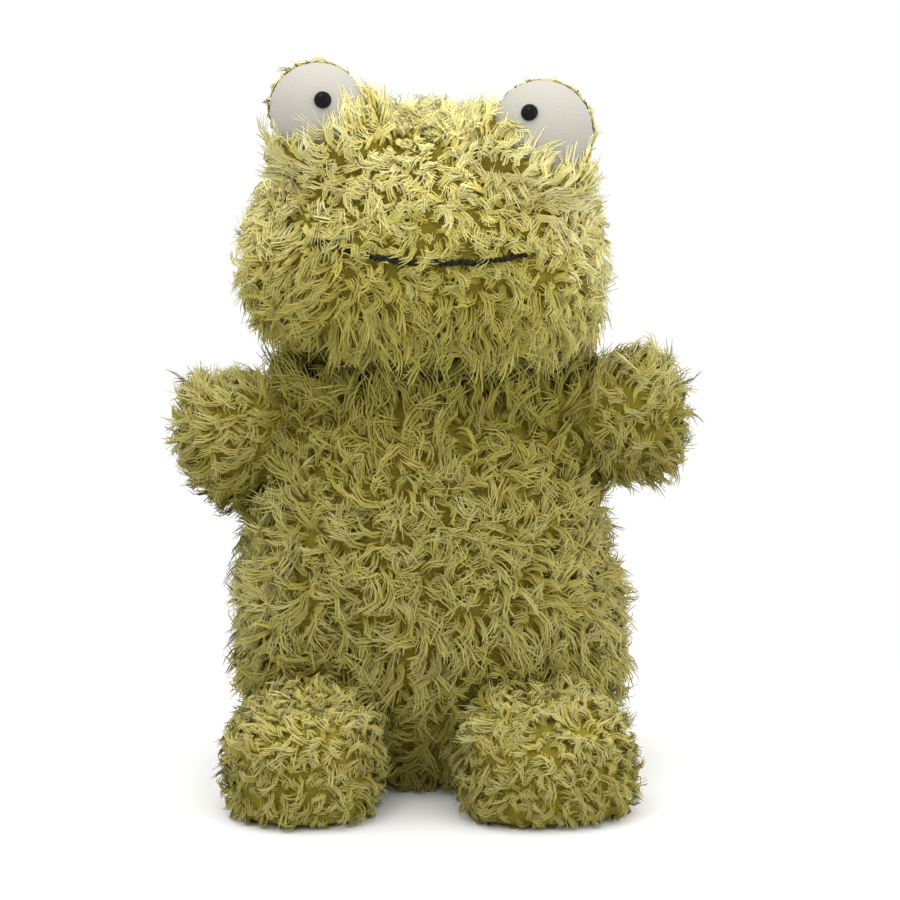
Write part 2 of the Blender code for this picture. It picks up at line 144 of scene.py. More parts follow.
class FrogPile(bpy.types.PropertyGroup):
    """What the pile of all the parts has in common."""

    soft: share("Softness", "How far strands take the shading of the cloth below", 0.88, 0.0, 1.0)
    floor: distance("Floor clearance", "The least height of any strand", 0.0006)
    # Darker than the middle: partly the fibre's own colour and partly painted shade deep in the
    # pile
    root: colour("Root", "Colour deep in the pile", (0.5, 0.42, 0.05))
    middle: colour("Middle", "Colour halfway along a strand", (0.6, 0.525, 0.12))
    tip: colour("Tip", "Colour at a strand's tip", (0.68, 0.615, 0.13))
    # The palest locks are those that the pale map paints lit, so their pale tips are a painted
    # highlight
    pale: colour("Pale tip", "Colour at the tips of the palest locks", (0.84, 0.805, 0.53))


class FrogHeadPile(bpy.types.PropertyGroup):
    """Pile of the head: short, curled and a little lighter."""

    __annotations__ = pile_sizes(
        inset=0.0068,
        strands=10,
        points=5,
        spacing=0.0031,
        length=0.0115,
        width=0.00037,
        spread=0.0017,
        lift=0.46,
        lean=0.6,
        curl=0.0018,
        turns=0.9,
        stray=0.18,
        gather=0.45,
        swirl=0.014,
        comb=0.22,
        brightness=1.2,
    )


class FrogBodyPile(bpy.types.PropertyGroup):
    """Pile of the body: long, straighter and matted into wisps."""

    __annotations__ = pile_sizes(
        inset=0.0082,
        strands=8,
        points=5,
        spacing=0.0032,
        length=0.016,
        width=0.00043,
        spread=0.0018,
        lift=0.47,
        lean=0.56,
        curl=0.0019,
        turns=0.75,
        stray=0.17,
        gather=0.55,
        swirl=0.014,
        comb=0.3,
        brightness=0.87,
    )


class FrogLimbPile(bpy.types.PropertyGroup):
    """Pile of the arms and legs."""

    __annotations__ = pile_sizes(
        inset=0.0055,
        strands=8,
        points=5,
        spacing=0.0029,
        length=0.0115,
        width=0.00037,
        spread=0.0016,
        lift=0.45,
        lean=0.62,
        curl=0.0017,
        turns=0.75,
        stray=0.16,
        gather=0.5,
        swirl=0.013,
        comb=0.12,
        brightness=0.82,
    )


class FrogRimPile(bpy.types.PropertyGroup):
    """Short pile: behind the eyes and on the soles."""

    __annotations__ = pile_sizes(
        inset=0.0025,
        strands=4,
        points=5,
        spacing=0.0019,
        length=0.0075,
        width=0.0004,
        spread=0.0012,
        lift=0.5,
        lean=0.72,
        curl=0.0009,
        turns=0.6,
        stray=0.1,
        gather=0.5,
        swirl=0.012,
        brightness=1.1,
    )


class FrogCloth(bpy.types.PropertyGroup):
    """The backing cloth under the pile."""

    voxel: distance("Grain", "Size of the cells that the cloth is drawn in", 0.003)
    # The backing is dark, partly its own colour and partly painted shade of the gaps between the
    # locks
    colour: colour("Backing", "Colour of the cloth", (0.26, 0.215, 0.025))
    crease: distance("Crease", "How far the cloth swells out beside another part", 0.012)
    neck: distance("Neck", "The same between the head and the body", 0.019)
    temple: distance("Temple", "How far the head is drawn in high on its right side", 0.003)
    waist: distance("Waist", "How far the body is drawn in below its left arm", 0.004)
    brow: distance("Brow", "How far the forehead swells over the eyes' lower edges", 0.0048)
    fill: share("Fill", "How tightly a part is stuffed", 0.8, 0.0, 1.0)


class FrogEyes(bpy.types.PropertyGroup):
    """The white plush of the eyes, and their pupils with the washers behind them."""

    rows: number("Rows", "Rings of faces on an eye", 48, 8)
    white: colour("White", "Colour of the eye plush", (0.57, 0.545, 0.48))
    nap: distance("Nap", "Size of the grain of the eye plush", 0.0007)
    black: colour("Black", "Colour of the pupils", (0.006, 0.006, 0.007))
    clear: colour("Clear", "Colour of the washers", (0.75, 0.75, 0.74))


class FrogMouth(bpy.types.PropertyGroup):
    """The stitched mouth."""

    stitches: number("Stitches", "Stitches in the row", 15)
    yarn: distance("Yarn", "Radius of the yarn", 0.00115)
    part: distance("Parting", "How far the pile keeps from the mouth", 0.0036)
    colour: colour("Yarn colour", "Colour of the yarn", (0.017, 0.017, 0.008))


class FrogStage(bpy.types.PropertyGroup):
    """Floor, lamps and camera."""

    floor: colour("Floor", "Colour of the floor", (0.94, 0.94, 0.94))
    bounce: colour("Bounce", "Colour of the floor as the frog is lit by it", (0.5, 0.5, 0.5))
    reach: distance("Reach", "Radius of the floor", 14.0)
    halo: distance("Halo", "From the frog to where the floor turns plain white", 0.3)
    target: FloatVectorProperty(
        name="Target",
        description="What the camera looks at",
        default=(0.00694, -0.00219, 0.12374),
        size=3,
        subtype="XYZ",
        unit="LENGTH",
    )
    away: distance("Away", "From the camera to the target", 1.4)
    elevation: FloatProperty(
        name="Elevation",
        description="How far the camera looks down",
        default=math.radians(11),
        subtype="ANGLE",
        unit="ROTATION",
    )
    width: distance("View width", "What the picture spans at the target", 0.3285)
    sky: share("Sky", "Strength of the light from the level", 0.68)
    zenith: share("Zenith", "Strength of the light from straight above", 1.65)
    key: share("Key lamp", "Power of the main lamp, in watts", 4.2, 0, 40)
    fill: share("Fill lamp", "Power of the lamp at the other side, in watts", 3.0, 0, 40)


# Node trees


# Fixed seeds of the parts' random draws, and what each kind of draw adds to them
SEEDS = {"head": 3, "mouth": 4, "body": 7, "limb": 20, "sole": 30, "rim": 40}
SALTS = {
    "tilt": 5,
    "size": 9,
    "jitter": 11,
    "shade": 23,
    "phase": 31,
    "reach": 41,
    "lift": 47,
    "turn": 53,
    "out": 59,
    "stray": 61,
    "trim": 67,
}


class Tree:
    """A node tree that is built one node at a time."""

    def __init__(self, tree):
        self.tree = tree

    @classmethod
    def new(cls, name, kind="GeometryNodeTree"):
        return cls(bpy.data.node_groups.new(name, kind))

    def socket(self, name, kind, out=False):
        way = "OUTPUT" if out else "INPUT"
        self.tree.interface.new_socket(name, in_out=way, socket_type="NodeSocket" + kind)

    def node(self, kind, inputs=None, **settings):
        made = self.tree.nodes.new(kind)
        for key, value in settings.items():
            setattr(made, key, value)
        for key, value in (inputs or {}).items():
            self.feed(find(made.inputs, key), value)
        return made

    def result(self, kind, inputs=None, **settings):
        """The first output of a new node."""
        return self.node(kind, inputs, **settings).outputs[0]

    def feed(self, target, value):
        if isinstance(value, bpy.types.NodeSocket):
            self.tree.links.new(value, target)
        else:
            target.default_value = value

    def sum(self, operation, *values):
        """A number worked out from up to three others."""
        keys = ("Value", "Value_001", "Value_002")
        return self.result("ShaderNodeMath", dict(zip(keys, values)), operation=operation)

    def times(self, first, second):
        return self.sum("MULTIPLY", first, second)

    def vector(self, operation, *values):
        """A vector worked out from up to two others, or from one and a number."""
        keys = ("Vector", "Scale") if operation == "SCALE" else ("Vector", "Vector_001")
        made = self.node("ShaderNodeVectorMath", dict(zip(keys, values)), operation=operation)
        return made.outputs["Value" if operation in ("DOT_PRODUCT", "LENGTH") else "Vector"]

    def scaled(self, vector, factor):
        return self.vector("SCALE", vector, factor)

    def total(self, first, *others):
        """These vectors added up in turn."""
        for other in others:
            first = self.vector("ADD", first, other)
        return first

    def joined(self, x=0.0, y=0.0, z=0.0):
        return self.result("ShaderNodeCombineXYZ", {"X": x, "Y": y, "Z": z})

    def attribute(self, name, kind="FLOAT"):
        return self.result("GeometryNodeInputNamedAttribute", {"Name": name}, data_type=kind)

    def way(self, name):
        return self.attribute(name, "FLOAT_VECTOR")

    def store(self, geometry, name, value, kind=None, domain="POINT"):
        """Keeps a number or a vector, or else a value of this kind, in an attribute."""
        kind = kind or ("FLOAT_VECTOR" if value.type == "VECTOR" else "FLOAT")
        inputs = {"Geometry": geometry, "Name": name, "Value": value}
        return self.result(
            "GeometryNodeStoreNamedAttribute", inputs, data_type=kind, domain=domain
        )

    def chance(self, seed, draw, low=0.0, high=1.0):
        """A random number, or a random vector if low is one."""
        kind, end = ("FLOAT_VECTOR", "") if isinstance(low, tuple) else ("FLOAT", "_001")
        inputs = {"Min" + end: low, "Max" + end: high, "Seed": self.sum("ADD", seed, SALTS[draw])}
        made = self.node("FunctionNodeRandomValue", inputs, data_type=kind)
        return find(made.outputs, "Value" + end)

    def mix(self, factor, first, second, how="MIX"):
        made = self.node(
            "ShaderNodeMix",
            {"Factor_Float": factor, "A_Color": first, "B_Color": second},
            data_type="RGBA",
            blend_type=how,
        )
        return find(made.outputs, "Result_Color")

    def shades(self, factor, rgb, dark, light):
        """A colour that varies between these shares of its brightness."""
        return self.mix(factor, solid(rgb, dark), solid(rgb, light))

    def grain(self, scale, detail):
        """Noise over the piece's own coordinates, of this many grains to the metre."""
        spot = self.node("ShaderNodeTexCoord").outputs["Object"]
        inputs = {"Vector": spot, "Scale": scale, "Detail": detail}
        return self.node("ShaderNodeTexNoise", inputs).outputs["Fac"]

    def relief(self, shader, height, strength, depth):
        """Bumps in a finish."""
        inputs = {"Height": height, "Strength": strength, "Distance": depth}
        self.feed(shader.inputs["Normal"], self.result("ShaderNodeBump", inputs))

    def rays(self, first, *others):
        """1 for these kinds of ray, and 0 for all others."""
        path = self.node("ShaderNodeLightPath").outputs
        found = path["Is " + first + " Ray"]
        for other in others:
            found = self.sum("MAXIMUM", found, path["Is " + other + " Ray"])
        return found

    def end_in(self, name, geometry, look):
        """Ends the tree in plain geometry of this material."""
        made = self.result("GeometryNodeRealizeInstances", {"Geometry": geometry})
        made = self.result("GeometryNodeSetMaterial", {"Geometry": made, "Material": look})
        self.node("NodeGroupOutput", {name: made})


def find(sockets, key):
    """The socket with this identifier, or else with this name."""
    for one in sockets:
        if one.identifier == key:
            return one
    return sockets[key]


# How strongly the pile lies in patches, and how far each lock has a way of its own
PATCHES = 3.0
JITTER = 0.7

# Lowest and highest share of its size that a lock or a strand gets
REACHES = (0.74, 1.16)
LIFTS = (0.78, 1.15)
TRIMS = (0.72, 1.06)

# A lock's tone comes from chance, and from how pale the cloth's map is there, which is painted
# light and shade
CHANCE_SHADE = 0.22
CLOTH_PAINTED_LIGHT = 0.78

# Along a strand the rise eases off, the lean and the stray come late, the curl opens soon and
# is tilted by its lean, and the skin tapers by this much to its tip
RISE = (-0.5, 1.5)
LEAN_POWER = 1.5
CURL_OPENS = 1.8
CURL_LEANS = 0.7
STRAY_POWER = 2.0
TAPER_POWER = 1.7
TAPER = 0.78

# More roots than this for each square metre are never asked for
MOST_ROOTS = 1000000.0

# A strand's map: u runs along it and v tells its lock, each with a margin, and both turn a
# little round the strand, so that its patch has an area
MAP_MARGIN = 0.02
U_ALONG = 0.94
U_AROUND = 0.02
V_LOCK = 0.92
V_AROUND = 0.03


def lock_tree():
    """Grows locks of tapered strands on a cloth, where its attribute pile allows them."""
    found = bpy.data.node_groups.get("Locks of pile")
    if found:
        return found
    made = Tree.new("Locks of pile")
    made.socket("Cloth", "Geometry")
    for name, (kind, _, _) in LOCK_SIZES.items():
        made.socket(name, "Int" if kind is number else "Float")
    for name in ("soft", "floor", "left eye radius", "right eye radius"):
        made.socket(name, "Float")
    for name in ("left eye", "right eye"):
        made.socket(name, "Vector")
    made.socket("seed", "Int")
    made.socket("look", "Material")
    made.socket("Pile", "Geometry", out=True)
    given = made.node("NodeGroupInput").outputs
    roots = lock_roots(made, given)
    lines = strand_lines(made, given, roots)
    curves = drawn_out(made, given, lines)
    made.end_in("Pile", strand_skins(made, given, curves), given["look"])
    return made.tree


def lock_roots(made, given):
    """A root for every lock, with the way that it stands and leans."""
    seed = given["seed"]
    scattered = made.node(
        "GeometryNodeDistributePointsOnFaces",
        {
            "Mesh": given["Cloth"],
            "Distance Min": given["spacing"],
            "Density Max": MOST_ROOTS,
            "Density Factor": made.attribute("pile"),
            "Seed": seed,
        },
        distribute_method="POISSON",
    ).outputs
    place = made.result("GeometryNodeInputPosition")
    waves = made.node(
        "ShaderNodeTexNoise",
        {
            "Vector": made.total(place, made.joined(x=seed)),
            "Scale": made.sum("DIVIDE", 1.0, given["swirl"]),
            "Detail": 1.0,
        },
    ).outputs["Color"]
    way = made.total(
        made.scaled(made.vector("SUBTRACT", waves, (0.5, 0.5, 0.5)), PATCHES),
        made.chance(seed, "jitter", (-JITTER,) * 3, (JITTER,) * 3),
        made.way("combed"),
    )
    # What is left of that way along the cloth is the way that the lock leans
    up = made.way("up")
    along_up = made.scaled(up, made.vector("DOT_PRODUCT", way, up))
    flat = made.vector("NORMALIZE", made.vector("SUBTRACT", way, along_up))
    # The cloth's pale map, which is painted light and shade, makes most of the lock's tone
    painted_light = made.times(made.attribute("pale"), CLOTH_PAINTED_LIGHT)
    shade = made.sum("MULTIPLY_ADD", made.chance(seed, "shade"), CHANCE_SHADE, painted_light)
    reach = made.times(given["length"], made.chance(seed, "reach", *REACHES))
    roots = made.store(scattered["Points"], "up", scattered["Normal"])
    roots = made.store(roots, "flat", flat)
    roots = made.store(roots, "lock", shade)
    roots = made.store(roots, "phase", made.chance(seed, "phase"))
    roots = made.store(roots, "reach", made.times(reach, made.attribute("tall")))
    return made.store(roots, "lifted", made.chance(seed, "lift", *LIFTS))


def strand_lines(made, given, roots):
    """A short line for every strand, which knows its place round the lock's root."""
    seed = given["seed"]
    flat = made.way("flat")
    side = made.vector("CROSS_PRODUCT", made.way("up"), flat)
    turn = made.chance(seed, "turn", 0.0, math.tau)
    out = made.times(given["spread"], made.sum("SQRT", made.chance(seed, "out")))
    off = made.total(
        made.scaled(side, made.times(out, made.sum("SINE", turn))),
        made.scaled(flat, made.times(out, made.sum("COSINE", turn))),
    )
    many = {"Geometry": roots, "Amount": given["strands"]}
    strands = made.result("GeometryNodeDuplicateElements", many, domain="POINT")
    strands = made.store(strands, "off", off)
    strands = made.store(strands, "root", made.result("GeometryNodeInputPosition"))
    strays = made.chance(seed, "stray", (-1.0, -1.0, -1.0), (1.0, 1.0, 1.0))
    strands = made.store(strands, "stray", strays)
    strands = made.store(strands, "trim", made.chance(seed, "trim", *TRIMS))
    line = made.result("GeometryNodeCurvePrimitiveLine", {"End": (0.0, 0.0, 0.001)})
    even = {"Curve": line, "Count": given["points"]}
    each = {"Points": strands, "Instance": made.result("GeometryNodeResampleCurve", even)}
    lines = made.result("GeometryNodeInstanceOnPoints", each)
    lines = made.result("GeometryNodeRealizeInstances", {"Geometry": lines})
    along = made.node("GeometryNodeSplineParameter").outputs["Factor"]
    return made.store(lines, "along", along)


def drawn_out(made, given, lines):
    """The lines drawn out into curls, which keep off the eyes and above the floor."""
    along, up, ahead = made.attribute("along"), made.way("up"), made.way("flat")
    long = made.times(made.attribute("reach"), made.attribute("trim"))
    rising = made.times(along, made.sum("MULTIPLY_ADD", along, *RISE))
    rising = made.times(rising, made.times(given["lift"], made.attribute("lifted")))
    running = made.times(made.sum("POWER", along, LEAN_POWER), given["lean"])
    angle = made.sum("ADD", made.times(given["turns"], along), made.attribute("phase"))
    angle = made.times(angle, math.tau)
    opening = made.sum("MINIMUM", made.times(along, CURL_OPENS), 1.0)
    curl = made.times(given["curl"], opening)
    across = made.vector("CROSS_PRODUCT", up, ahead)
    over = made.total(up, made.scaled(ahead, CURL_LEANS))
    gathered = made.sum("SUBTRACT", 1.0, made.times(given["gather"], along))
    straying = made.times(given["stray"], long)
    spot = made.total(
        made.scaled(up, made.times(rising, long)),
        made.scaled(ahead, made.times(running, long)),
        made.scaled(across, made.times(curl, made.sum("COSINE", angle))),
        made.scaled(over, made.times(curl, made.sum("SINE", angle))),
        made.scaled(made.way("off"), gathered),
        made.scaled(
            made.way("stray"), made.times(straying, made.sum("POWER", along, STRAY_POWER))
        ),
        made.way("root"),
    )
    # No spot is nearer to an eye's middle than its radius, or lower than the floor
    for eye in ("left eye", "right eye"):
        away = made.vector("SUBTRACT", spot, given[eye])
        far = made.sum("MAXIMUM", made.vector("LENGTH", away), given[eye + " radius"])
        spot = made.total(made.scaled(made.vector("NORMALIZE", away), far), given[eye])
    parts = made.node("ShaderNodeSeparateXYZ", {"Vector": spot}).outputs
    least = made.sum("ADD", given["floor"], made.times(made.attribute("lock"), given["width"]))
    spot = made.joined(parts["X"], parts["Y"], made.sum("MAXIMUM", parts["Z"], least))
    return made.result("GeometryNodeSetPosition", {"Geometry": lines, "Position": spot})


def strand_skins(made, given, curves):
    """Three-sided skins that taper to the tip, mapped by place along them and by lock."""
    along, around, soft = made.attribute("along"), made.attribute("around"), given["soft"]
    taper = made.times(made.sum("POWER", along, TAPER_POWER), TAPER)
    thick = made.times(given["width"], made.sum("SUBTRACT", 1.0, taper))
    turn = made.node("GeometryNodeSplineParameter").outputs["Factor"]
    ring = made.result("GeometryNodeCurvePrimitiveCircle", {"Resolution": 3, "Radius": 1.0})
    ring = made.store(ring, "around", turn)
    shape = {"Curve": curves, "Profile Curve": ring, "Scale": thick, "Fill Caps": True}
    pile = made.result("GeometryNodeCurveToMesh", shape)
    u = made.sum("MULTIPLY_ADD", around, U_AROUND, MAP_MARGIN)
    u = made.sum("MULTIPLY_ADD", along, U_ALONG, u)
    fold = made.sum("FRACT", made.times(around, 2.0))
    v = made.sum("MULTIPLY_ADD", fold, V_AROUND, MAP_MARGIN)
    v = made.sum("MULTIPLY_ADD", made.attribute("lock"), V_LOCK, v)
    pile = made.store(pile, "OFBake", made.joined(u, v), "FLOAT2", "CORNER")
    pile = made.result("GeometryNodeSetShadeSmooth", {"Geometry": pile})
    own = made.scaled(made.result("GeometryNodeInputNormal"), made.sum("SUBTRACT", 1.0, soft))
    eased = made.vector("NORMALIZE", made.total(own, made.scaled(made.way("up"), soft)))
    inputs = {"Mesh": pile, "Custom Normal": eased}
    return made.result("GeometryNodeSetMeshNormal", inputs, mode="FREE", domain="POINT")


# Materials


# Along a strand, the root's colour, darkened partly with painted shade, turns to the middle's, and
# that to the tip's
MIDDLE_BAND = (0.1, 0.5)
TIP_BAND = (0.45, 1.0)

# From lock to lock, by a tone that is mostly painted light and shade: how sharply the pale,
# painted-lit ones stand out with a painted highlight at the tip, how far the palest has its tip's
# colour all along, how much lighter a lock is painted as its tone is paler, and a warm tint that
# comes and goes
PALE_POWER = 1.5
TIP_ALL_ALONG = 0.4
LOCK_TONE_AND_PAINTED_LIGHT = (0.95, 0.52)
WARM_TINT = (1.0, 0.93, 0.72, 1.0)
WARM_SHARE = 0.6
WARM_WAVES = 41.0

# Brightness of the patches on an eye, and how far scuffs change a plastic's roughness
EYE_PATCHES = 0.97
SCUFFED = (0.8, 1.4)

# From here out the floor begins to turn plain white
HALO_START = 0.08


def strand_group():
    """A shader group that colours a strand from its root to its tip, lock by lock, with the
    painted light and shade that each lock's tone carries.
    """
    found = bpy.data.node_groups.get("Strand colour")
    if found:
        return found
    made = Tree.new("Strand colour", "ShaderNodeTree")
    made.socket("Place", "Vector")
    for name in ("Root", "Middle", "Tip", "Pale"):
        made.socket(name, "Color")
    made.socket("Colour", "Color", out=True)
    given = made.node("NodeGroupInput").outputs
    along, lock, _ = made.node("ShaderNodeSeparateXYZ", {"Vector": given["Place"]}).outputs
    low, high = (
        made.result("ShaderNodeMapRange", {"Value": along, "From Min": start, "From Max": end})
        for start, end in (MIDDLE_BAND, TIP_BAND)
    )
    tip = made.mix(made.sum("POWER", lock, PALE_POWER), given["Tip"], given["Pale"])
    paint = made.mix(low, given["Root"], given["Middle"])
    paint = made.mix(high, paint, tip)
    paint = made.mix(made.times(lock, TIP_ALL_ALONG), paint, tip)
    # Painted light and shade: a lock is painted lighter as its tone is paler
    light = made.sum("MULTIPLY_ADD", lock, *LOCK_TONE_AND_PAINTED_LIGHT)
    paint = made.mix(1.0, paint, made.joined(light, light, light), "MULTIPLY")
    wave = made.sum("SINE", made.times(lock, WARM_WAVES))
    warm = made.times(made.sum("MULTIPLY_ADD", wave, 0.5, 0.5), WARM_SHARE)
    paint = made.mix(warm, paint, made.mix(1.0, paint, WARM_TINT, "MULTIPLY"))
    made.node("NodeGroupOutput", {"Colour": paint})
    return made.tree


def new_material(name, roughness, specular):
    """(material, tree, shader) of a new material with one Principled shader."""
    made = bpy.data.materials.new(name)
    made.use_nodes = True
    shader = made.node_tree.nodes["Principled BSDF"]
    shader.inputs["Roughness"].default_value = roughness
    shader.inputs["Specular IOR Level"].default_value = specular
    return made, Tree(made.node_tree), shader


def solid(rgb, factor=1.0):
    return (*[min(1.0, value * factor) for value in rgb], 1.0)


def pile_material(name, pile, factor):
    """Pile fibre: quite matt, darker at its root, partly with painted shade."""
    made, tree, shader = new_material(name, roughness=0.82, specular=0.0)
    group = tree.node("ShaderNodeGroup", node_tree=strand_group())
    tree.feed(group.inputs["Place"], tree.result("ShaderNodeUVMap", uv_map="OFBake"))
    for key in ("Root", "Middle", "Tip", "Pale"):
        tree.feed(group.inputs[key], solid(getattr(pile, key.lower()), factor))
    tree.feed(shader.inputs["Base Color"], group.outputs["Colour"])
    return made


def cloth_material(cloth):
    """Knitted backing cloth, as it shows between the locks, dark partly in its own colour and
    partly with painted shade of the gaps.
    """
    found = bpy.data.materials.get("Backing cloth")
    if found:
        return found
    made, tree, shader = new_material("Backing cloth", roughness=0.95, specular=0.15)
    mottle = tree.grain(scale=140.0, detail=3.0)
    paint = tree.shades(mottle, cloth.colour, dark=0.7, light=1.4)
    tree.feed(shader.inputs["Base Color"], paint)
    spot = tree.node("ShaderNodeTexCoord").outputs["Object"]
    knit = tree.node("ShaderNodeTexVoronoi", {"Vector": spot, "Scale": 900.0})
    tree.relief(shader, knit.outputs["Distance"], strength=0.5, depth=0.0004)
    return made


def eye_material(eyes):
    """Short brushed plush, off white, with a fine nap."""
    made, tree, shader = new_material("Eye plush", roughness=0.9, specular=0.2)
    nap = tree.grain(scale=1 / eyes.nap, detail=3.0)
    patch = tree.grain(scale=70.0, detail=2.0)
    paint = tree.shades(nap, eyes.white, dark=0.94, light=1.05)
    paint = tree.mix(patch, paint, solid(eyes.white, EYE_PATCHES))
    tree.feed(shader.inputs["Base Color"], paint)
    tree.relief(shader, nap, strength=0.55, depth=0.0005)
    shader.inputs["Sheen Weight"].default_value = 0.1
    return made


def plastic_material(name, rgb, roughness):
    """Moulded plastic with faint scuffs."""
    made, tree, shader = new_material(name, roughness, specular=0.12)
    scuff = tree.grain(scale=900.0, detail=2.0)
    smoother, rougher = (roughness * factor for factor in SCUFFED)
    worn = {"Value": scuff, "To Min": smoother, "To Max": rougher}
    tree.feed(shader.inputs["Roughness"], tree.result("ShaderNodeMapRange", worn))
    tree.feed(shader.inputs["Base Color"], solid(rgb))
    return made


def yarn_material(mouth):
    """Dark twisted yarn."""
    made, tree, shader = new_material("Mouth yarn", roughness=0.85, specular=0.2)
    fibre = tree.grain(scale=2200.0, detail=3.0)
    paint = tree.shades(fibre, mouth.colour, dark=0.5, light=2.2)
    tree.feed(shader.inputs["Base Color"], paint)
    tree.relief(shader, fibre, strength=0.6, depth=0.0002)
    return made


def floor_material(stage):
    """Pale floor that keeps the shadow, and turns plain white away from the frog."""
    made, tree, shader = new_material("Pale floor", roughness=1.0, specular=0.0)
    spot = tree.node("ShaderNodeTexCoord").outputs["Object"]
    far = tree.result(
        "ShaderNodeMapRange",
        {"Value": tree.vector("LENGTH", spot), "From Min": HALO_START, "From Max": stage.halo},
        interpolation_type="SMOOTHSTEP",
    )
    seen = tree.rays("Camera", "Glossy")
    paint = tree.mix(seen, solid(stage.bounce), solid(stage.floor))
    tree.feed(shader.inputs["Base Color"], paint)
    white = {"Color": (1.0, 1.0, 1.0, 1.0), "Strength": 1.0}
    plain = tree.result("ShaderNodeEmission", white)
    blend = tree.node("ShaderNodeMixShader", {"Fac": tree.times(far, seen)})
    tree.feed(blend.inputs[1], shader.outputs[0])
    tree.feed(blend.inputs[2], plain)
    out = made.node_tree.nodes["Material Output"]
    tree.feed(out.inputs["Surface"], blend.outputs[0])
    return made


# Shapes


# A form whose corners come this near the floor stands on it, and runs on this far under it
# until it is cut off
GROUNDED = 0.004
UNDER_FLOOR = 0.03

# Corners nearer than this are one. A skin is eased this often, and again after it is cut
SAME_CORNER = 1e-6
EASINGS = 5
CUT_EASINGS = 1

# The pile keeps this far off the eyes
EYE_GAP = 0.0004


def add_object(name, mesh):
    made = bpy.data.objects.new(name, mesh)
    bpy.context.scene.collection.objects.link(made)
    return made


def evaluated_mesh(source):
    graph = bpy.context.evaluated_depsgraph_get()
    return bpy.data.meshes.new_from_object(source.evaluated_get(graph))


def filled_form(name, nodes, voxel, below):
    """One closed smooth form round these nodes, with the hollows below this height filled.

    A form that stands on the floor runs on under it, and is cut off after it is drawn in.
    """
    whole = bmesh.new()
    for node in nodes:
        whole.from_mesh(frame["nodes"][node].data)
    bmesh.ops.remove_doubles(whole, verts=whole.verts[:], dist=SAME_CORNER)
    shell = bmesh.new()
    for corner in whole.verts:
        if corner.co.z < below:
            shell.verts.new(corner.co)
        if corner.co.z < GROUNDED:
            shell.verts.new(corner.co - Vector((0, 0, UNDER_FLOOR)))
    made = bmesh.ops.convex_hull(shell, input=shell.verts[:])
    spare = set(made["geom_interior"] + made["geom_unused"])
    spare = [one for one in spare if isinstance(one, bmesh.types.BMVert)]
    bmesh.ops.delete(shell, geom=spare, context="VERTS")
    bmesh.ops.recalc_face_normals(shell, faces=shell.faces[:])
    mesh = bpy.data.meshes.new(name)
    shell.to_mesh(mesh)
    shell.free()
    whole.from_mesh(mesh)
    whole.to_mesh(mesh)
    whole.free()
    form = add_object(name, mesh)
    redraw(form, voxel, EASINGS)
    return form


def redraw(form, voxel, rounds):
    """Draws a form's skin afresh in even faces, and eases it."""
    step = form.modifiers.new("Draw cloth", "REMESH")
    step.mode = "VOXEL"
    step.voxel_size = voxel
    ease = form.modifiers.new("Ease", "SMOOTH")
    ease.factor = 0.5
    ease.iterations = rounds
    mesh = evaluated_mesh(form)
    form.modifiers.clear()
    form.data = mesh
    keep_largest(mesh)


def keep_largest(mesh):
    """Drops every loose patch but the one with the most corners."""
    work = bmesh.new()
    work.from_mesh(mesh)
    left = set(work.verts)
    patches = []
    while left:
        reach = [left.pop()]
        patch = []
        while reach:
            corner = reach.pop()
            patch.append(corner)
            for edge in corner.link_edges:
                other = edge.other_vert(corner)
                if other in left:
                    left.discard(other)
                    reach.append(other)
        patches.append(patch)
    patches.sort(key=len)
    for patch in patches[:-1]:
        bmesh.ops.delete(work, geom=patch, context="VERTS")
    work.to_mesh(mesh)
    work.free()


def draw_in(form, insets, floor, voxel):
    """Moves a closed skin in by these distances, and cuts it off at the floor."""
    mesh = form.data
    spots = corners(mesh) - normals(mesh) * insets[:, None]
    mesh.vertices.foreach_set("co", spots.ravel())
    mesh.update()
    if spots[:, 2].min() > floor:
        return
    work = bmesh.new()
    work.from_mesh(mesh)
    geometry = work.verts[:] + work.edges[:] + work.faces[:]
    bmesh.ops.bisect_plane(
        work, geom=geometry, plane_co=(0, 0, floor), plane_no=(0, 0, 1), clear_inner=True
    )
    bmesh.ops.holes_fill(work, edges=[edge for edge in work.edges if edge.is_boundary])
    bmesh.ops.recalc_face_normals(work, faces=work.faces[:])
    work.to_mesh(mesh)
    work.free()
    redraw(form, voxel, CUT_EASINGS)
    spots = corners(form.data)
    spots[:, 2] = np.maximum(spots[:, 2], floor)
    form.data.vertices.foreach_set("co", spots.ravel())
    form.data.update()


def read(values, key, width):
    """A number of each element, or a row of this width."""
    found = np.empty(len(values) * width, np.float32)
    values.foreach_get(key, found)
    return found.reshape(-1, width)


def corners(mesh):
    return read(mesh.vertices, "co", 3)


def normals(mesh):
    return read(mesh.vertex_normals, "vector", 3)


def write(mesh, name, values):
    """Keeps a number or a vector for each corner, in place of what had this name."""
    old = mesh.attributes.get(name)
    if old:
        mesh.attributes.remove(old)
    kind, key = ("FLOAT", "value") if values.ndim == 1 else ("FLOAT_VECTOR", "vector")
    made = mesh.attributes.new(name, kind, "POINT")
    made.data.foreach_set(key, values.astype(np.float32).ravel())


def depths_in(spots, meshes, most=0.08):
    """How deep each spot lies in the deepest of these closed forms, in metres; below 0 outside."""
    depths = np.full(len(spots), -most)
    for mesh in meshes:
        faces = [tuple(face.vertices) for face in mesh.polygons]
        tree = BVHTree.FromPolygons([corner.co for corner in mesh.vertices], faces)
        for index, spot in enumerate(spots):
            near, normal, _, gap = tree.find_nearest(Vector(spot), most)
            if near is not None:
                inside = (near - Vector(spot)).dot(normal) > 0
                depths[index] = max(depths[index], gap if inside else -gap)
    return depths


def ramp(values, band):
    """0 below a band, 1 above it and smooth between."""
    low, high = band
    share_up = np.clip((values - low) / (high - low), 0, 1)
    return share_up * share_up * (3 - 2 * share_up)


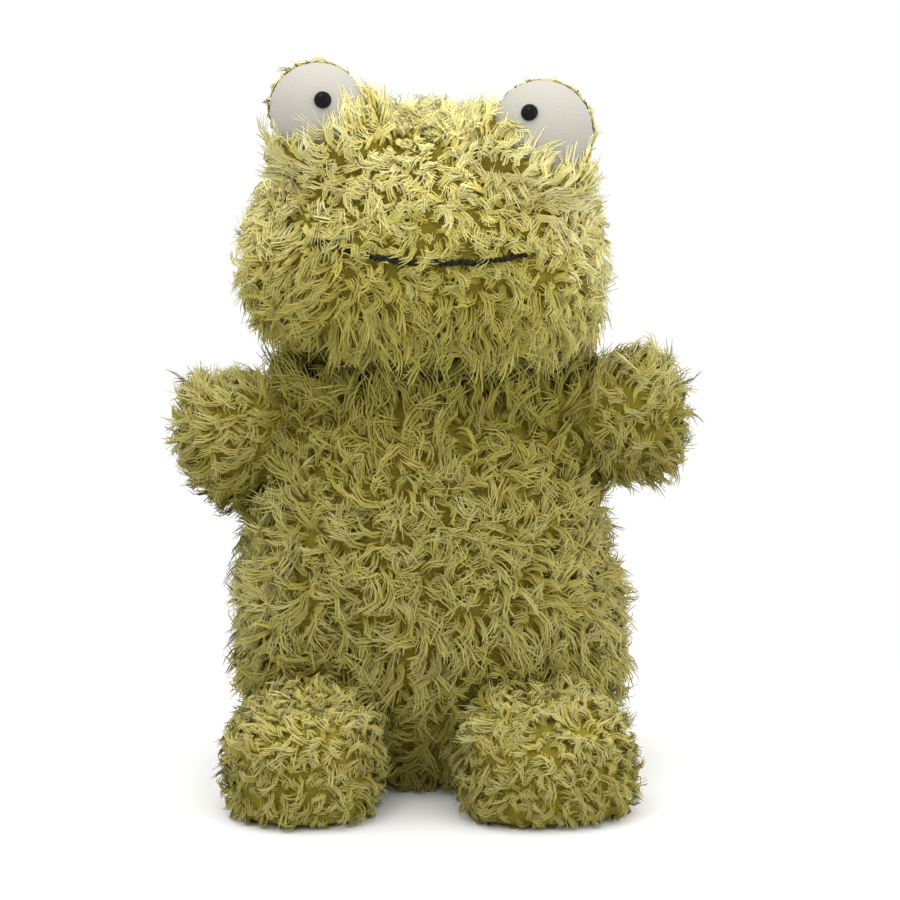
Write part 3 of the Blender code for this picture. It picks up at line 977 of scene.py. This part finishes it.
def fade(values, band):
    return 1 - ramp(values, band)


def blended(none, full, shares):
    """From one value where the share is 0 to the other where it is 1."""
    return none + (full - none) * shares


def grown(source, tree, inputs):
    """What a tree makes of an object, as a plain mesh."""
    step = source.modifiers.new(tree.name, "NODES")
    step.node_group = tree
    sockets = {item.name: item.identifier for item in tree.interface.items_tree}
    for name, value in inputs.items():
        step[sockets[name]] = value
    mesh = evaluated_mesh(source)
    source.modifiers.clear()
    return mesh


def dress(piece, body, look=None):
    """A finished piece rides on its body and takes its finish from a slot."""
    if look:
        piece.data.materials.clear()
        piece.data.materials.append(look)
    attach(piece, body)
    return piece


def grow(name, cloth, body, sizes, look, seed):
    """The locks on one cloth, as a plain mesh of its own."""
    pile = bpy.context.scene.frog_pile
    inputs = {key: getattr(sizes, key) for key in LOCK_SIZES}
    inputs |= {"soft": pile.soft, "floor": pile.floor, "seed": seed, "look": look}
    if body == "head":
        for side in ("left", "right"):
            centre, radius = eye_ball(side)
            inputs |= {side + " eye": centre, side + " eye radius": radius + EYE_GAP}
    mesh = grown(cloth, lock_tree(), inputs)
    kept = ("OFBake", "position", "custom_normal", "sharp_face", "material_index")
    for spare in list(mesh.attributes):
        if spare.name not in kept and spare.name[0] != "." and not spare.is_required:
            mesh.attributes.remove(spare)
    if not mesh.polygons:
        raise RuntimeError(name + " grew no pile")
    mesh.name = name
    return dress(add_object(name, mesh), body)


# The stuffed parts


# Each has its body's name: its sizes of pile and its CAD nodes
PARTS = {
    "head": ("frog_head_pile", ("head_face_skin", "head_back_skin", "head_filling")),
    "body": ("frog_body_pile", ("body_front_skin", "body_back_skin", "body_filling")),
}
LIMBS = {
    "arm": ("arm_front_skin", "arm_back_skin", "arm_filling"),
    "leg": ("leg_upper_skin", "leg_sole", "leg_filling"),
}
PARTS |= {
    side + "_" + limb: ("frog_limb_pile", tuple(node + "_" + side for node in nodes))
    for limb, nodes in LIMBS.items()
    for side in ("left", "right")
}

# Hollows of the head are filled only below its eyes, and all those of the other parts
BELOW_EYES = 0.215
ALL_HEIGHTS = 1.0

# The neck is above this height on the body, and the side seams are this far back
BODY_TOP = 0.138
SIDE_SEAM = 0.0175

# Of its inset, the cloth keeps this much beside another part, and at the neck
INSET_KEPT = 0.6
NECK_KEPT = 0.1

# Where the body is drawn in at its waist, and the head at its temple
WAIST_SIDE = (0.05, 0.065)
WAIST_HEIGHT = 0.098
WAIST_BAND = (0.012, 0.03)
TEMPLE_SIDE = (0.03, 0.06)
TEMPLE_RISE = (0.195, 0.215)

# The brow swells this near an eye, on these sides of it, and this squarely to them
BROW_BAND = (0.003, 0.013)
BROW_AIMS = {
    "left": ((-0.62, -0.45, -0.64), (0.0, -0.6, -0.8), (-0.25, -0.8, -0.55), (0.25, -0.7, -0.67)),
    "right": ((0.62, -0.45, -0.64), (0.0, -0.6, -0.8)),
}
BROW_FACING = (0.1, 0.7)


def eye_ball(side):
    """(centre, radius) of one eye, read from its white and green halves."""
    low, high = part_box("eye_white_" + side)
    _, back_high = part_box("eye_back_" + side)
    radius = (back_high.y - low.y) / 2
    outer = high.x - radius if side == "left" else low.x + radius
    top = max(high.z, back_high.z)
    return Vector((outer, (low.y + back_high.y) / 2, top - radius)), radius


def brow_share(spots):
    """1 where the forehead swells up against an eye from below and inside, and 0 elsewhere."""
    found = np.zeros(len(spots))
    for side, aims in BROW_AIMS.items():
        centre, radius = eye_ball(side)
        away = spots - np.array(centre)
        far = np.linalg.norm(away, axis=1)
        near = fade(far - radius, BROW_BAND)
        for aim in aims:
            facing = (away / far[:, None]) @ np.array(aim)
            found = np.maximum(found, ramp(facing, BROW_FACING) * near)
    return found


class FROG_OT_cloth(bpy.types.Operator):
    """Draw the stuffed backing cloth of every part"""

    bl_idname = "frog.cloth"
    bl_label = "Stuffed cloth"

    def execute(self, context):
        scene = context.scene
        cloth = scene.frog_cloth
        look = cloth_material(cloth)
        forms = {}
        for name, (_, nodes) in PARTS.items():
            below = BELOW_EYES if name == "head" else ALL_HEIGHTS
            forms[name] = filled_form(name + "_plush", nodes, cloth.voxel, below)
        insets = {}
        for name, (sizes, _) in PARTS.items():
            others = [form.data for key, form in forms.items() if key != name]
            inset = getattr(scene, sizes).inset
            insets[name] = self.insets(name, corners(forms[name].data), others, inset, cloth)
        for name, (_, nodes) in PARTS.items():
            form = forms[name]
            draw_in(form, insets[name], scene.frog_pile.floor, cloth.voxel)
            form.data.polygons.foreach_set("use_smooth", [True] * len(form.data.polygons))
            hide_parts(*nodes)
            dress(form, name, look)
        for name, form in forms.items():
            others = [other.data for key, other in forms.items() if key != name]
            write(form.data, "depth", depths_in(corners(form.data), others))
        neck = filled_form("neck_plush", ("neck_filling",), cloth.voxel, ALL_HEIGHTS)
        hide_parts("neck_filling")
        dress(neck, "neck", look)
        return {"FINISHED"}

    def insets(self, name, spots, others, inset, cloth):
        """How far in the cloth lies at each corner: less beside another part and at the brow."""
        crease = np.full(len(spots), cloth.crease)
        least = np.full(len(spots), INSET_KEPT)
        if name in ("head", "body"):
            crease[spots[:, 2] > BODY_TOP] = cloth.neck
            least[spots[:, 2] > BODY_TOP] = NECK_KEPT
        found = inset * blended(least, 1, ramp(-depths_in(spots, others), (0.0, crease)))
        if name == "body":
            level = fade(np.abs(spots[:, 2] - WAIST_HEIGHT), WAIST_BAND)
            found += cloth.waist * (ramp(spots[:, 0], WAIST_SIDE) * level)
        if name == "head":
            temple = ramp(-spots[:, 0], TEMPLE_SIDE) * ramp(spots[:, 2], TEMPLE_RISE)
            found += cloth.temple * temple
            found -= (found + cloth.brow) * brow_share(spots)
        return found


# The pile ends in this band of depth inside another part, and its length changes this near
# one: to this on the head, and on the other parts from below their neck band to above it
PILE_ENDS = (-0.0005, 0.0025)
BESIDE = (0.0, 0.012)
HEAD_BESIDE_TALL = 1.05
BESIDE_TALL = (0.6, 1.05)
NECK_BAND = (BODY_TOP - 0.005, BODY_TOP + 0.01)

# It shortens near the floor, and where it also faces down it is shorter still and thin
FLOOR_BAND = (0.001, 0.012)
FLOOR_TALL = 0.45
FACING_DOWN = (0.5, 0.95)
SEAT_BAND = (0.005, 0.015)
SEAT_TALL = 0.65
SEAT_PILE = 0.25

# How pale the pile is painted, which is painted light and shade: on the limbs, lighter as it
# faces up, as if lit from above
LIMB_PAINTED_LIGHT = (0.45, 0.65)
FACING_UP = (-0.2, 0.8)

# On the head, painted light: lighter by height, as if lit from above, which counts for more at
# its sides, and lighter on the left cheek, as if lit from that side
HEAD_PAINTED_LIGHT = (0.2, 0.9)
HEAD_RISE = (0.18, 0.235)
HEAD_SIDE = (0.03, 0.065)
HEAD_SIDE_RAISES = 0.02
CHEEK = (0.02, 0.06)
CHEEK_PAINTED_LIGHT = 0.35

# On the body: painted lighter at its flanks, and darker with painted shade up the chest under
# the head and towards the floor
BODY_PALE = 0.5
FLANK = (0.04, 0.07)
FLANK_PAINTED_LIGHT = 0.2
CHEST = (0.1, 0.138)
CHEST_PAINTED_SHADE = 0.45
LAP_PAINTED_SHADE = (0.0, 0.05)

# And painted shade in the creases: what is left of that beside another part
CREASE = (0.0, 0.02)
CREASE_PAINTED_SHADE = 0.1

# Cuts that keep the strips of pile small: across the head, and up the body
HEAD_CUTS = (0.0,)
BODY_CUTS = (0.055, 0.105)


def shares_on(name):
    """(cloth, spots, pile, tall): how much pile grows on this part's cloth, and how tall. It also
    writes the cloth's pale map, the painted light and shade of its pile.
    """
    cloth = bpy.data.objects[name + "_plush"]
    spots = corners(cloth.data)
    depths = read(cloth.data.attributes["depth"].data, "value", 1).ravel()
    facing = normals(cloth.data)[:, 2]
    beside = HEAD_BESIDE_TALL
    if name != "head":
        beside = blended(*BESIDE_TALL, ramp(spots[:, 2], NECK_BAND))
    seat = ramp(-facing, FACING_DOWN) * fade(spots[:, 2], SEAT_BAND)
    pile = fade(depths, PILE_ENDS) * blended(1, SEAT_PILE, seat)
    tall = blended(beside, 1, ramp(-depths, BESIDE))
    tall *= blended(FLOOR_TALL, 1, ramp(spots[:, 2], FLOOR_BAND))
    tall *= blended(1, SEAT_TALL, seat)
    # Painted light: the limbs' pile is lighter where it faces up
    pale = blended(*LIMB_PAINTED_LIGHT, ramp(facing, FACING_UP))
    if name == "head":
        # Painted light: lighter up the head and on the left cheek
        raised = spots[:, 2] + HEAD_SIDE_RAISES * ramp(np.abs(spots[:, 0]), HEAD_SIDE)
        pale = blended(*HEAD_PAINTED_LIGHT, ramp(raised, HEAD_RISE))
        pale += CHEEK_PAINTED_LIGHT * ramp(spots[:, 0], CHEEK)
    if name == "body":
        # Painted light at the flanks, and painted shade up the chest and towards the floor
        pale = BODY_PALE + FLANK_PAINTED_LIGHT * ramp(np.abs(spots[:, 0]), FLANK)
        pale -= CHEST_PAINTED_SHADE * ramp(spots[:, 2], CHEST)
        pale *= ramp(spots[:, 2], LAP_PAINTED_SHADE)
    # Painted shade: darker beside another part, in the creases
    pale = np.clip(pale, 0, 1) * blended(CREASE_PAINTED_SHADE, 1, ramp(-depths, CREASE))
    write(cloth.data, "pale", pale)
    return cloth, spots, pile, tall


def panels(spots, cuts, axis):
    """(name, mask) of each strip of the panels in front of and behind the side seams."""
    strips = np.searchsorted(np.array(cuts), spots[:, axis])
    for side, there in (("front", spots[:, 1] <= SIDE_SEAM), ("back", spots[:, 1] > SIDE_SEAM)):
        for strip in range(len(cuts) + 1):
            yield side + "_" + str(strip + 1), there & (strips == strip)


# On the head: the chin's pile hangs, and the pile turns to the eyes and shortens beside them
CHIN = (0.165, 0.2)
CHIN_HANGS = 1.2
CHIN_TALL = 1.5
EYE_EDGE = (-0.001, 0.0)
EYE_SHORT = 0.6
EYE_BESIDE = (0.0, 0.011)
EYE_TURNS = 2.5
EYE_TURN_BAND = (0.004, 0.015)
BROW_TALL = 1.2

# Along the mouth, from 0 at its right end to 1 at its left: where it runs, where it sinks
# into the pile, and where the pile parts for it
MOUTH_SLICES = 33
SLICE_REACH = 1 / 40
MOUTH_SINKS = 0.0016
RIGHT_END = (0.2, 0.34)
RIGHT_END_SINKS = 0.0035
MOUTH_DIPS = ((0.53, (0.02, 0.05), 0.003), (0.84, (0.015, 0.04), 0.0016))
LEFT_END = (0.945, 0.985)
LEFT_END_SINKS = 0.003
PARTING_START = 0.4
PARTING_LEAST = 0.15
PARTING_END = (0.2, 0.32)
PARTING_BREAK = 0.53
PARTING_BREAK_BAND = (0.015, 0.05)
PARTED_PILE = 0.65
PARTED_TALL = 0.6


def mouth_line():
    """Points along the middle of the mouth's thread, from right to left."""
    spots = corners(frame["nodes"]["mouth_stitch"].data)
    low, high = spots[:, 0].min(), spots[:, 0].max()
    across = np.linspace(0.0, 1.0, MOUTH_SLICES)
    found = []
    for share_across in across:
        x = low + (high - low) * share_across
        near = spots[np.abs(spots[:, 0] - x) < (high - low) * SLICE_REACH]
        found.append(near.mean(axis=0))
    found = np.array(found)
    found[:, 1] += MOUTH_SINKS + RIGHT_END_SINKS * fade(across, RIGHT_END)
    for middle, band, depth in MOUTH_DIPS:
        found[:, 1] += depth * fade(np.abs(across - middle), band)
    found[:, 1] += LEFT_END_SINKS * ramp(across, LEFT_END)
    return found


class FROG_OT_head_pile(bpy.types.Operator):
    """Grow the curled pile of the head, parted at the eyes and the mouth"""

    bl_idname = "frog.head_pile"
    bl_label = "Pile of the head"

    def execute(self, context):
        scene = context.scene
        sizes = scene.frog_head_pile
        look = pile_material("Head pile", scene.frog_pile, sizes.brightness)
        cloth, spots, pile, tall = shares_on("head")
        low = fade(spots[:, 2], CHIN)
        ways = np.zeros((len(spots), 3))
        ways[:, 2] = -sizes.comb - CHIN_HANGS * low
        tall *= blended(1, CHIN_TALL, low)
        for side in ("left", "right"):
            centre, radius = eye_ball(side)
            away = np.linalg.norm(spots - np.array(centre), axis=1) - radius
            pile *= ramp(away, EYE_EDGE)
            tall *= blended(EYE_SHORT, 1, ramp(away, EYE_BESIDE))
            over = fade(away, EYE_TURN_BAND)[:, None]
            toward = (np.array(centre) - spots) / (away + radius)[:, None]
            ways = ways + over * EYE_TURNS * toward
        tall = blended(tall, BROW_TALL, brow_share(spots))
        parted = self.parting(spots, scene.frog_mouth.part)
        pile *= blended(1, PARTED_PILE, parted)
        tall *= blended(1, PARTED_TALL, parted)
        write(cloth.data, "combed", ways)
        write(cloth.data, "tall", tall)
        for strip, there in panels(spots, HEAD_CUTS, 0):
            write(cloth.data, "pile", pile * there)
            grow("head_pile_" + strip, cloth, "head", sizes, look, SEEDS["head"])
        return {"FINISHED"}

    def parting(self, spots, width):
        """1 where the pile parts for the mouth, and less where it covers the stitches."""
        line = mouth_line()
        gaps = np.linalg.norm(spots[:, None, (0, 2)] - line[None, :, (0, 2)], axis=2).min(axis=1)
        near = fade(gaps, (PARTING_START * width, width)) * (spots[:, 1] < 0)
        across = (spots[:, 0] - line[0, 0]) / (line[-1, 0] - line[0, 0])
        clear = ramp(np.abs(across - PARTING_BREAK), PARTING_BREAK_BAND)
        return near * blended(PARTING_LEAST, 1, ramp(across, PARTING_END) * clear)


# On the body: it is combed down below this band and up above it, and at its top it stands
# up tall into the neck
CHEST_COMB = (0.06, 0.12)
SHOULDER = (BODY_TOP - 0.01, BODY_TOP + 0.006)
SHOULDER_STANDS = 0.8
SHOULDER_TALL = 1.65


class FROG_OT_body_pile(bpy.types.Operator):
    """Grow the long matted pile of the body"""

    bl_idname = "frog.body_pile"
    bl_label = "Pile of the body"

    def execute(self, context):
        scene = context.scene
        sizes = scene.frog_body_pile
        look = pile_material("Body pile", scene.frog_pile, sizes.brightness)
        cloth, spots, pile, tall = shares_on("body")
        shoulder = ramp(spots[:, 2], SHOULDER)
        ways = np.zeros((len(spots), 3))
        ways[:, 2] = sizes.comb * (2 * ramp(spots[:, 2], CHEST_COMB) - 1)
        ways[:, 2] += SHOULDER_STANDS * shoulder
        write(cloth.data, "combed", ways)
        write(cloth.data, "tall", tall * blended(1, SHOULDER_TALL, shoulder))
        for strip, there in panels(spots, BODY_CUTS, 2):
            write(cloth.data, "pile", pile * there)
            grow("body_pile_" + strip, cloth, "body", sizes, look, SEEDS["body"])
        return {"FINISHED"}


# On the arms: pile runs outwards, and stands up on top of their roots and high at their tips
ARM_OUTWARDS = 0.5
ARM_TOP = (0.2, 0.7)
ARM_ROOT = (0.058, 0.07)
ARM_ROOT_STANDS = 1.2
ARM_ROOT_TALL = 1.35
ARM_TIP = (0.068, 0.082)
ARM_TIP_RISE = (0.128, 0.142)
ARM_TIP_STANDS = 0.9
ARM_TIP_TALL = 1.3

# On the legs: pile runs to the toe, and is short and thin on the sole, where it is also painted
# darker, as shade under the foot
LEG_FORWARDS = 0.3
LEG_TALL = 0.85
SOLE_FACING = (0.4, 0.75)
SOLE_HEIGHT = (0.005, 0.01)
SOLE_PILE = 0.5
SOLE_TALL = 0.55
SOLE_PAINTED_SHADE = 0.8


class FROG_OT_limb_pile(bpy.types.Operator):
    """Grow the pile of the arms and legs"""

    bl_idname = "frog.limb_pile"
    bl_label = "Pile of the limbs"

    def execute(self, context):
        scene = context.scene
        sizes = scene.frog_limb_pile
        look = pile_material("Limb pile", scene.frog_pile, sizes.brightness)
        # The sole's pile is a darker copy of the limbs': painted shade under the foot
        brightness = SOLE_PAINTED_SHADE * sizes.brightness
        shaded_sole_look = pile_material("Sole pile", scene.frog_pile, brightness)
        for turn, name in enumerate(("left_arm", "right_arm", "left_leg", "right_leg")):
            cloth, spots, pile, tall = shares_on(name)
            facing = normals(cloth.data)[:, 2]
            ways = np.zeros((len(spots), 3))
            ways[:, 2] = -sizes.comb
            if name.endswith("arm"):
                side = np.abs(spots[:, 0])
                root = ramp(facing, ARM_TOP) * fade(side, ARM_ROOT)
                tip = ramp(side, ARM_TIP) * ramp(spots[:, 2], ARM_TIP_RISE)
                ways[:, 0] = ARM_OUTWARDS * np.sign(spots[:, 0])
                ways[:, 2] += ARM_ROOT_STANDS * root
                ways[:, 2] += ARM_TIP_STANDS * tip
                tall *= blended(1, ARM_ROOT_TALL, root)
                tall *= blended(1, ARM_TIP_TALL, tip)
            else:
                ways[:, 1] = -LEG_FORWARDS
                tall *= LEG_TALL
            write(cloth.data, "combed", ways)
            if name.endswith("leg"):
                under = ramp(-facing, SOLE_FACING) * fade(spots[:, 2], SOLE_HEIGHT)
                write(cloth.data, "pile", SOLE_PILE * under)
                write(cloth.data, "tall", np.full(len(spots), SOLE_TALL))
                sole = name.replace("leg", "sole") + "_pile"
                seed = SEEDS["sole"] + turn
                grow(sole, cloth, name, scene.frog_rim_pile, shaded_sole_look, seed)
                pile *= 1 - under
            write(cloth.data, "pile", pile)
            write(cloth.data, "tall", tall)
            grow(name + "_pile", cloth, name, sizes, look, SEEDS["limb"] + turn)
        return {"FINISHED"}


# The eyes


# A solid's corner this near an eye's full radius is on its outside
ON_BALL = 0.98

# The rim's pile starts this far behind the seam, and is tall on the side that shows
RIM_START = (0.0001, 0.0009)
RIM_SHOWN = {"left": (0.9, 0.0, 0.25), "right": (-0.6, 0.0, 0.8)}
RIM_FACING = (0.2, 0.8)
RIM_TALL = (0.75, 1.1)


def seam_normal(side):
    """The way that the front of an eye faces, from its seam."""
    centre, radius = eye_ball(side)
    ways = []
    for half in ("eye_white_", "eye_back_"):
        spots = corners(frame["nodes"][half + side].data) - np.array(centre)
        way = spots[np.linalg.norm(spots, axis=1) > radius * ON_BALL].mean(axis=0)
        ways.append(way / np.linalg.norm(way))
    return Vector(ways[0] - ways[1]).normalized()


def half_ball(name, centre, radius, seam, rows, facing):
    """The half of a ball on one side of its seam, ring by ring, closed by a flat face."""
    around = rows * 2
    rings = rows // 2
    turn = Vector((0, 0, 1)).rotation_difference(seam * facing)
    spots = [Vector((0, 0, radius))]
    for ring in range(1, rings + 1):
        lean = math.pi / 2 * ring / rings
        out, height = radius * math.sin(lean), radius * math.cos(lean)
        for step in range(around):
            angle = math.tau * step / around
            spots.append(Vector((out * math.cos(angle), out * math.sin(angle), height)))
    spots = [turn @ spot + centre for spot in spots]
    faces = [(0, 1 + step, 1 + (step + 1) % around) for step in range(around)]
    last = 1 + (rings - 1) * around
    for first in range(1, last, around):
        for step in range(around):
            here, after = first + step, first + (step + 1) % around
            faces.append((here, here + around, after + around, after))
    faces.append(tuple(range(last + around - 1, last - 1, -1)))
    mesh = bpy.data.meshes.new(name)
    mesh.from_pydata(spots, [], faces)
    smooth = [True] * (len(faces) - 1) + [False]
    mesh.polygons.foreach_set("use_smooth", smooth)
    return add_object(name, mesh)


class FROG_OT_eyes(bpy.types.Operator):
    """Make the white plush fronts of the eyes, their green backs and their pupils"""

    bl_idname = "frog.eyes"
    bl_label = "Eyes"

    def execute(self, context):
        scene = context.scene
        eyes = scene.frog_eyes
        rim = scene.frog_rim_pile
        white = eye_material(eyes)
        look = pile_material("Rim pile", scene.frog_pile, rim.brightness)
        finishes = {
            "pupil_": plastic_material("Pupil plastic", eyes.black, 0.12),
            "pupil_washer_": plastic_material("Washer plastic", eyes.clear, 0.4),
        }
        for turn, side in enumerate(("left", "right")):
            centre, radius = eye_ball(side)
            seam = seam_normal(side)
            ball = half_ball("eye_plush_" + side, centre, radius, seam, eyes.rows, 1)
            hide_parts("eye_white_" + side, "eye_filling_" + side)
            dress(ball, "head", white)
            inner = radius - rim.inset
            back = half_ball("eye_back_plush_" + side, centre, inner, seam, eyes.rows // 2, -1)
            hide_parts("eye_back_" + side)
            dress(back, "head", cloth_material(scene.frog_cloth))
            away = corners(back.data) - np.array(centre)
            shown = away @ np.array(RIM_SHOWN[side]) / radius
            write(back.data, "combed", away @ np.outer(seam, seam) / radius)
            write(back.data, "pile", ramp(-away @ np.array(seam), RIM_START))
            write(back.data, "tall", blended(*RIM_TALL, ramp(shown, RIM_FACING)))
            # The rim's pile is painted at its palest: painted light, as on the lit top of the head
            write(back.data, "pale", np.ones(len(away)))
            grow("eye_rim_pile_" + side, back, "head", rim, look, SEEDS["rim"] + turn)
            for node, finish in finishes.items():
                slots = frame["nodes"][node + side].data.materials
                slots.clear()
                slots.append(finish)
        return {"FINISHED"}


# The mouth


# Of the yarn's radius: how far its two strands lie from its middle, and how thick they are
TWIST_RADIUS = 0.55
STRAND_RADIUS = 0.62
TWIST_TURNS = 1.4

# A stitch thins out by this much to its ends, and runs on past its share of the row
END_THINNING = 0.45
END_POWER = 3.0
STITCH_LENGTH = 1.15

# Lowest and highest turn and size of a stitch
TILTS = ((-0.12, 0.05, -0.3), (0.12, 0.3, 0.3))
STITCH_SIZES = ((0.9, 0.9, 0.85), (1.1, 1.1, 1.12))


def stitch_tree():
    """A row of slanting stitches along a curve, each a short twist of two yarns."""
    made = Tree.new("Stitch row")
    made.socket("Path", "Geometry")
    for name in ("stitches", "seed"):
        made.socket(name, "Int")
    for name in ("yarn", "length"):
        made.socket(name, "Float")
    made.socket("look", "Material")
    made.socket("Row", "Geometry", out=True)
    given = made.node("NodeGroupInput").outputs
    yarn = given["yarn"]

    # One stitch: two strands wound round each other
    core = made.times(yarn, TWIST_RADIUS)
    twist = made.result(
        "GeometryNodeCurveSpiral",
        {
            "Resolution": 12,
            "Rotations": TWIST_TURNS,
            "Start Radius": core,
            "End Radius": core,
            "Height": given["length"],
        },
    )
    turned = {"Geometry": twist, "Rotation": (0.0, 0.0, math.pi)}
    both = made.node("GeometryNodeJoinGeometry")
    made.feed(both.inputs[0], twist)
    made.feed(both.inputs[0], made.result("GeometryNodeTransform", turned))
    along = made.node("GeometryNodeSplineParameter").outputs["Factor"]
    end = made.sum("ABSOLUTE", made.sum("MULTIPLY_ADD", along, 2.0, -1.0))
    thinning = made.times(made.sum("POWER", end, END_POWER), END_THINNING)
    thick = made.times(made.times(yarn, STRAND_RADIUS), made.sum("SUBTRACT", 1.0, thinning))
    ring = made.result("GeometryNodeCurvePrimitiveCircle", {"Resolution": 6, "Radius": 1.0})
    shape = {"Curve": both.outputs[0], "Profile Curve": ring, "Scale": thick, "Fill Caps": True}
    stitch = made.result("GeometryNodeCurveToMesh", shape)
    half = made.joined(z=made.times(given["length"], -0.5))
    stitch = made.result("GeometryNodeTransform", {"Geometry": stitch, "Translation": half})

    # One on each point of the row, tilted by chance
    spots = made.node(
        "GeometryNodeCurveToPoints", {"Curve": given["Path"], "Count": given["stitches"]}
    ).outputs
    tilt = {"Euler": made.chance(given["seed"], "tilt", *TILTS)}
    tilted = made.result(
        "FunctionNodeRotateRotation",
        {
            "Rotation": spots["Rotation"],
            "Rotate By": made.result("FunctionNodeEulerToRotation", tilt),
        },
        rotation_space="LOCAL",
    )
    row = made.result(
        "GeometryNodeInstanceOnPoints",
        {
            "Points": spots["Points"],
            "Instance": stitch,
            "Rotation": tilted,
            "Scale": made.chance(given["seed"], "size", *STITCH_SIZES),
        },
    )
    row = made.result("GeometryNodeSetShadeSmooth", {"Geometry": row})
    made.end_in("Row", row, given["look"])
    return made.tree


class FROG_OT_mouth(bpy.types.Operator):
    """Sew the mouth: a row of slanting stitches of dark yarn"""

    bl_idname = "frog.mouth"
    bl_label = "Mouth"

    def execute(self, context):
        mouth = context.scene.frog_mouth
        spots = mouth_line()
        line = bpy.data.curves.new("mouth_path", "CURVE")
        line.dimensions = "3D"
        spline = line.splines.new("POLY")
        spline.points.add(len(spots) - 1)
        for point, spot in zip(spline.points, spots):
            point.co = (*spot, 1)
        path = add_object("mouth_path", line)
        length = np.linalg.norm(np.diff(spots, axis=0), axis=1).sum()
        inputs = {
            "stitches": mouth.stitches,
            "yarn": mouth.yarn,
            "length": float(STITCH_LENGTH * length / mouth.stitches),
            "seed": SEEDS["mouth"],
            "look": yarn_material(mouth),
        }
        mesh = grown(path, stitch_tree(), inputs)
        bpy.data.objects.remove(path)
        piece = add_object("mouth_stitches", mesh)
        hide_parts("mouth_stitch")
        dress(piece, "head")
        return {"FINISHED"}


# The stage


# Places and widths of the lamps, and what they shine at
KEY_SPOT = (-0.3, -0.55, 1.7)
KEY_WIDTH = 0.9
FILL_SPOT = (1.15, -0.9, 0.7)
FILL_WIDTH = 1.0
LIT_SPOT = (0, 0, 0.13)
FLOOR_SIDES = 96


class FROG_OT_stage(bpy.types.Operator):
    """Set the floor, the lamps and the camera"""

    bl_idname = "frog.stage"
    bl_label = "Stage"

    def execute(self, context):
        stage = context.scene.frog_stage
        work = bmesh.new()
        bmesh.ops.create_circle(work, cap_ends=True, segments=FLOOR_SIDES, radius=stage.reach)
        mesh = bpy.data.meshes.new("floor")
        work.to_mesh(mesh)
        work.free()
        floor = add_object("floor", mesh)
        floor.data.materials.append(floor_material(stage))
        self.light_sky(context.scene, stage.sky, stage.zenith)
        self.lamp("key_lamp", KEY_SPOT, KEY_WIDTH, stage.key)
        self.lamp("fill_lamp", FILL_SPOT, FILL_WIDTH, stage.fill)
        self.set_camera(context.scene, stage)
        return {"FINISHED"}

    def light_sky(self, scene, strength, zenith):
        """Even white light, which the camera sees as plain white."""
        world = bpy.data.worlds.new("Studio")
        world.use_nodes = True
        scene.world = world
        tree = Tree(world.node_tree)
        back = world.node_tree.nodes["Background"]
        back.inputs["Color"].default_value = (1, 1, 1, 1)
        way = tree.node("ShaderNodeTexCoord").outputs["Generated"]
        height = tree.node("ShaderNodeSeparateXYZ", {"Vector": way}).outputs["Z"]
        height = tree.sum("MAXIMUM", height, 0.0)
        glow = tree.sum("MULTIPLY_ADD", height, zenith - strength, strength)
        seen = tree.rays("Camera", "Glossy", "Transmission")
        rest = tree.times(tree.sum("SUBTRACT", 1.0, seen), glow)
        tree.feed(back.inputs["Strength"], tree.sum("ADD", rest, seen))

    def lamp(self, name, spot, width, power):
        data = bpy.data.lights.new(name, "AREA")
        data.shape = "DISK"
        data.size = width
        data.energy = power
        made = add_object(name, data)
        made.location = spot
        aim = Vector(LIT_SPOT) - Vector(spot)
        made.rotation_euler = aim.to_track_quat("-Z", "Y").to_euler()

    def set_camera(self, scene, stage):
        data = bpy.data.cameras.new("camera")
        data.sensor_width = 36
        data.lens = data.sensor_width * stage.away / stage.width
        data.clip_end = 100
        made = add_object("camera", data)
        target = Vector(stage.target)
        back = Vector((0, -math.cos(stage.elevation), math.sin(stage.elevation)))
        made.location = target + back * stage.away
        made.rotation_euler = (-back).to_track_quat("-Z", "Y").to_euler()
        scene.camera = made
        scene.view_settings.view_transform = "Standard"


# The add-on


class FROG_PT_panel(bpy.types.Panel):
    """Lists the steps that dress the frog"""

    bl_idname = "FROG_PT_panel"
    bl_label = "Plush frog"
    bl_space_type = "VIEW_3D"
    bl_region_type = "UI"
    bl_category = "Plush frog"

    def draw(self, context):
        for operator in OPERATORS:
            self.layout.operator(operator.bl_idname)
        for name in GROUPS:
            group = getattr(context.scene, name)
            box = self.layout.box()
            box.label(text=name)
            for key in group.bl_rna.properties.keys():
                if key not in ("rna_type", "name"):
                    box.prop(group, key)


OPERATORS = (
    FROG_OT_cloth,
    FROG_OT_eyes,
    FROG_OT_head_pile,
    FROG_OT_body_pile,
    FROG_OT_limb_pile,
    FROG_OT_mouth,
    FROG_OT_stage,
)

GROUPS = {
    "frog_pile": FrogPile,
    "frog_head_pile": FrogHeadPile,
    "frog_body_pile": FrogBodyPile,
    "frog_limb_pile": FrogLimbPile,
    "frog_rim_pile": FrogRimPile,
    "frog_cloth": FrogCloth,
    "frog_eyes": FrogEyes,
    "frog_mouth": FrogMouth,
    "frog_stage": FrogStage,
}


def register():
    for name, group in GROUPS.items():
        bpy.utils.register_class(group)
        setattr(bpy.types.Scene, name, PointerProperty(type=group))
    for operator in OPERATORS:
        bpy.utils.register_class(operator)
    bpy.utils.register_class(FROG_PT_panel)


def unregister():
    bpy.utils.unregister_class(FROG_PT_panel)
    for operator in reversed(OPERATORS):
        bpy.utils.unregister_class(operator)
    for name, group in GROUPS.items():
        delattr(bpy.types.Scene, name)
        bpy.utils.unregister_class(group)


def main():
    register()
    for operator in OPERATORS:
        area, name = operator.bl_idname.split(".")
        getattr(getattr(bpy.ops, area), name)()


if __name__ == "__main__":
    main()
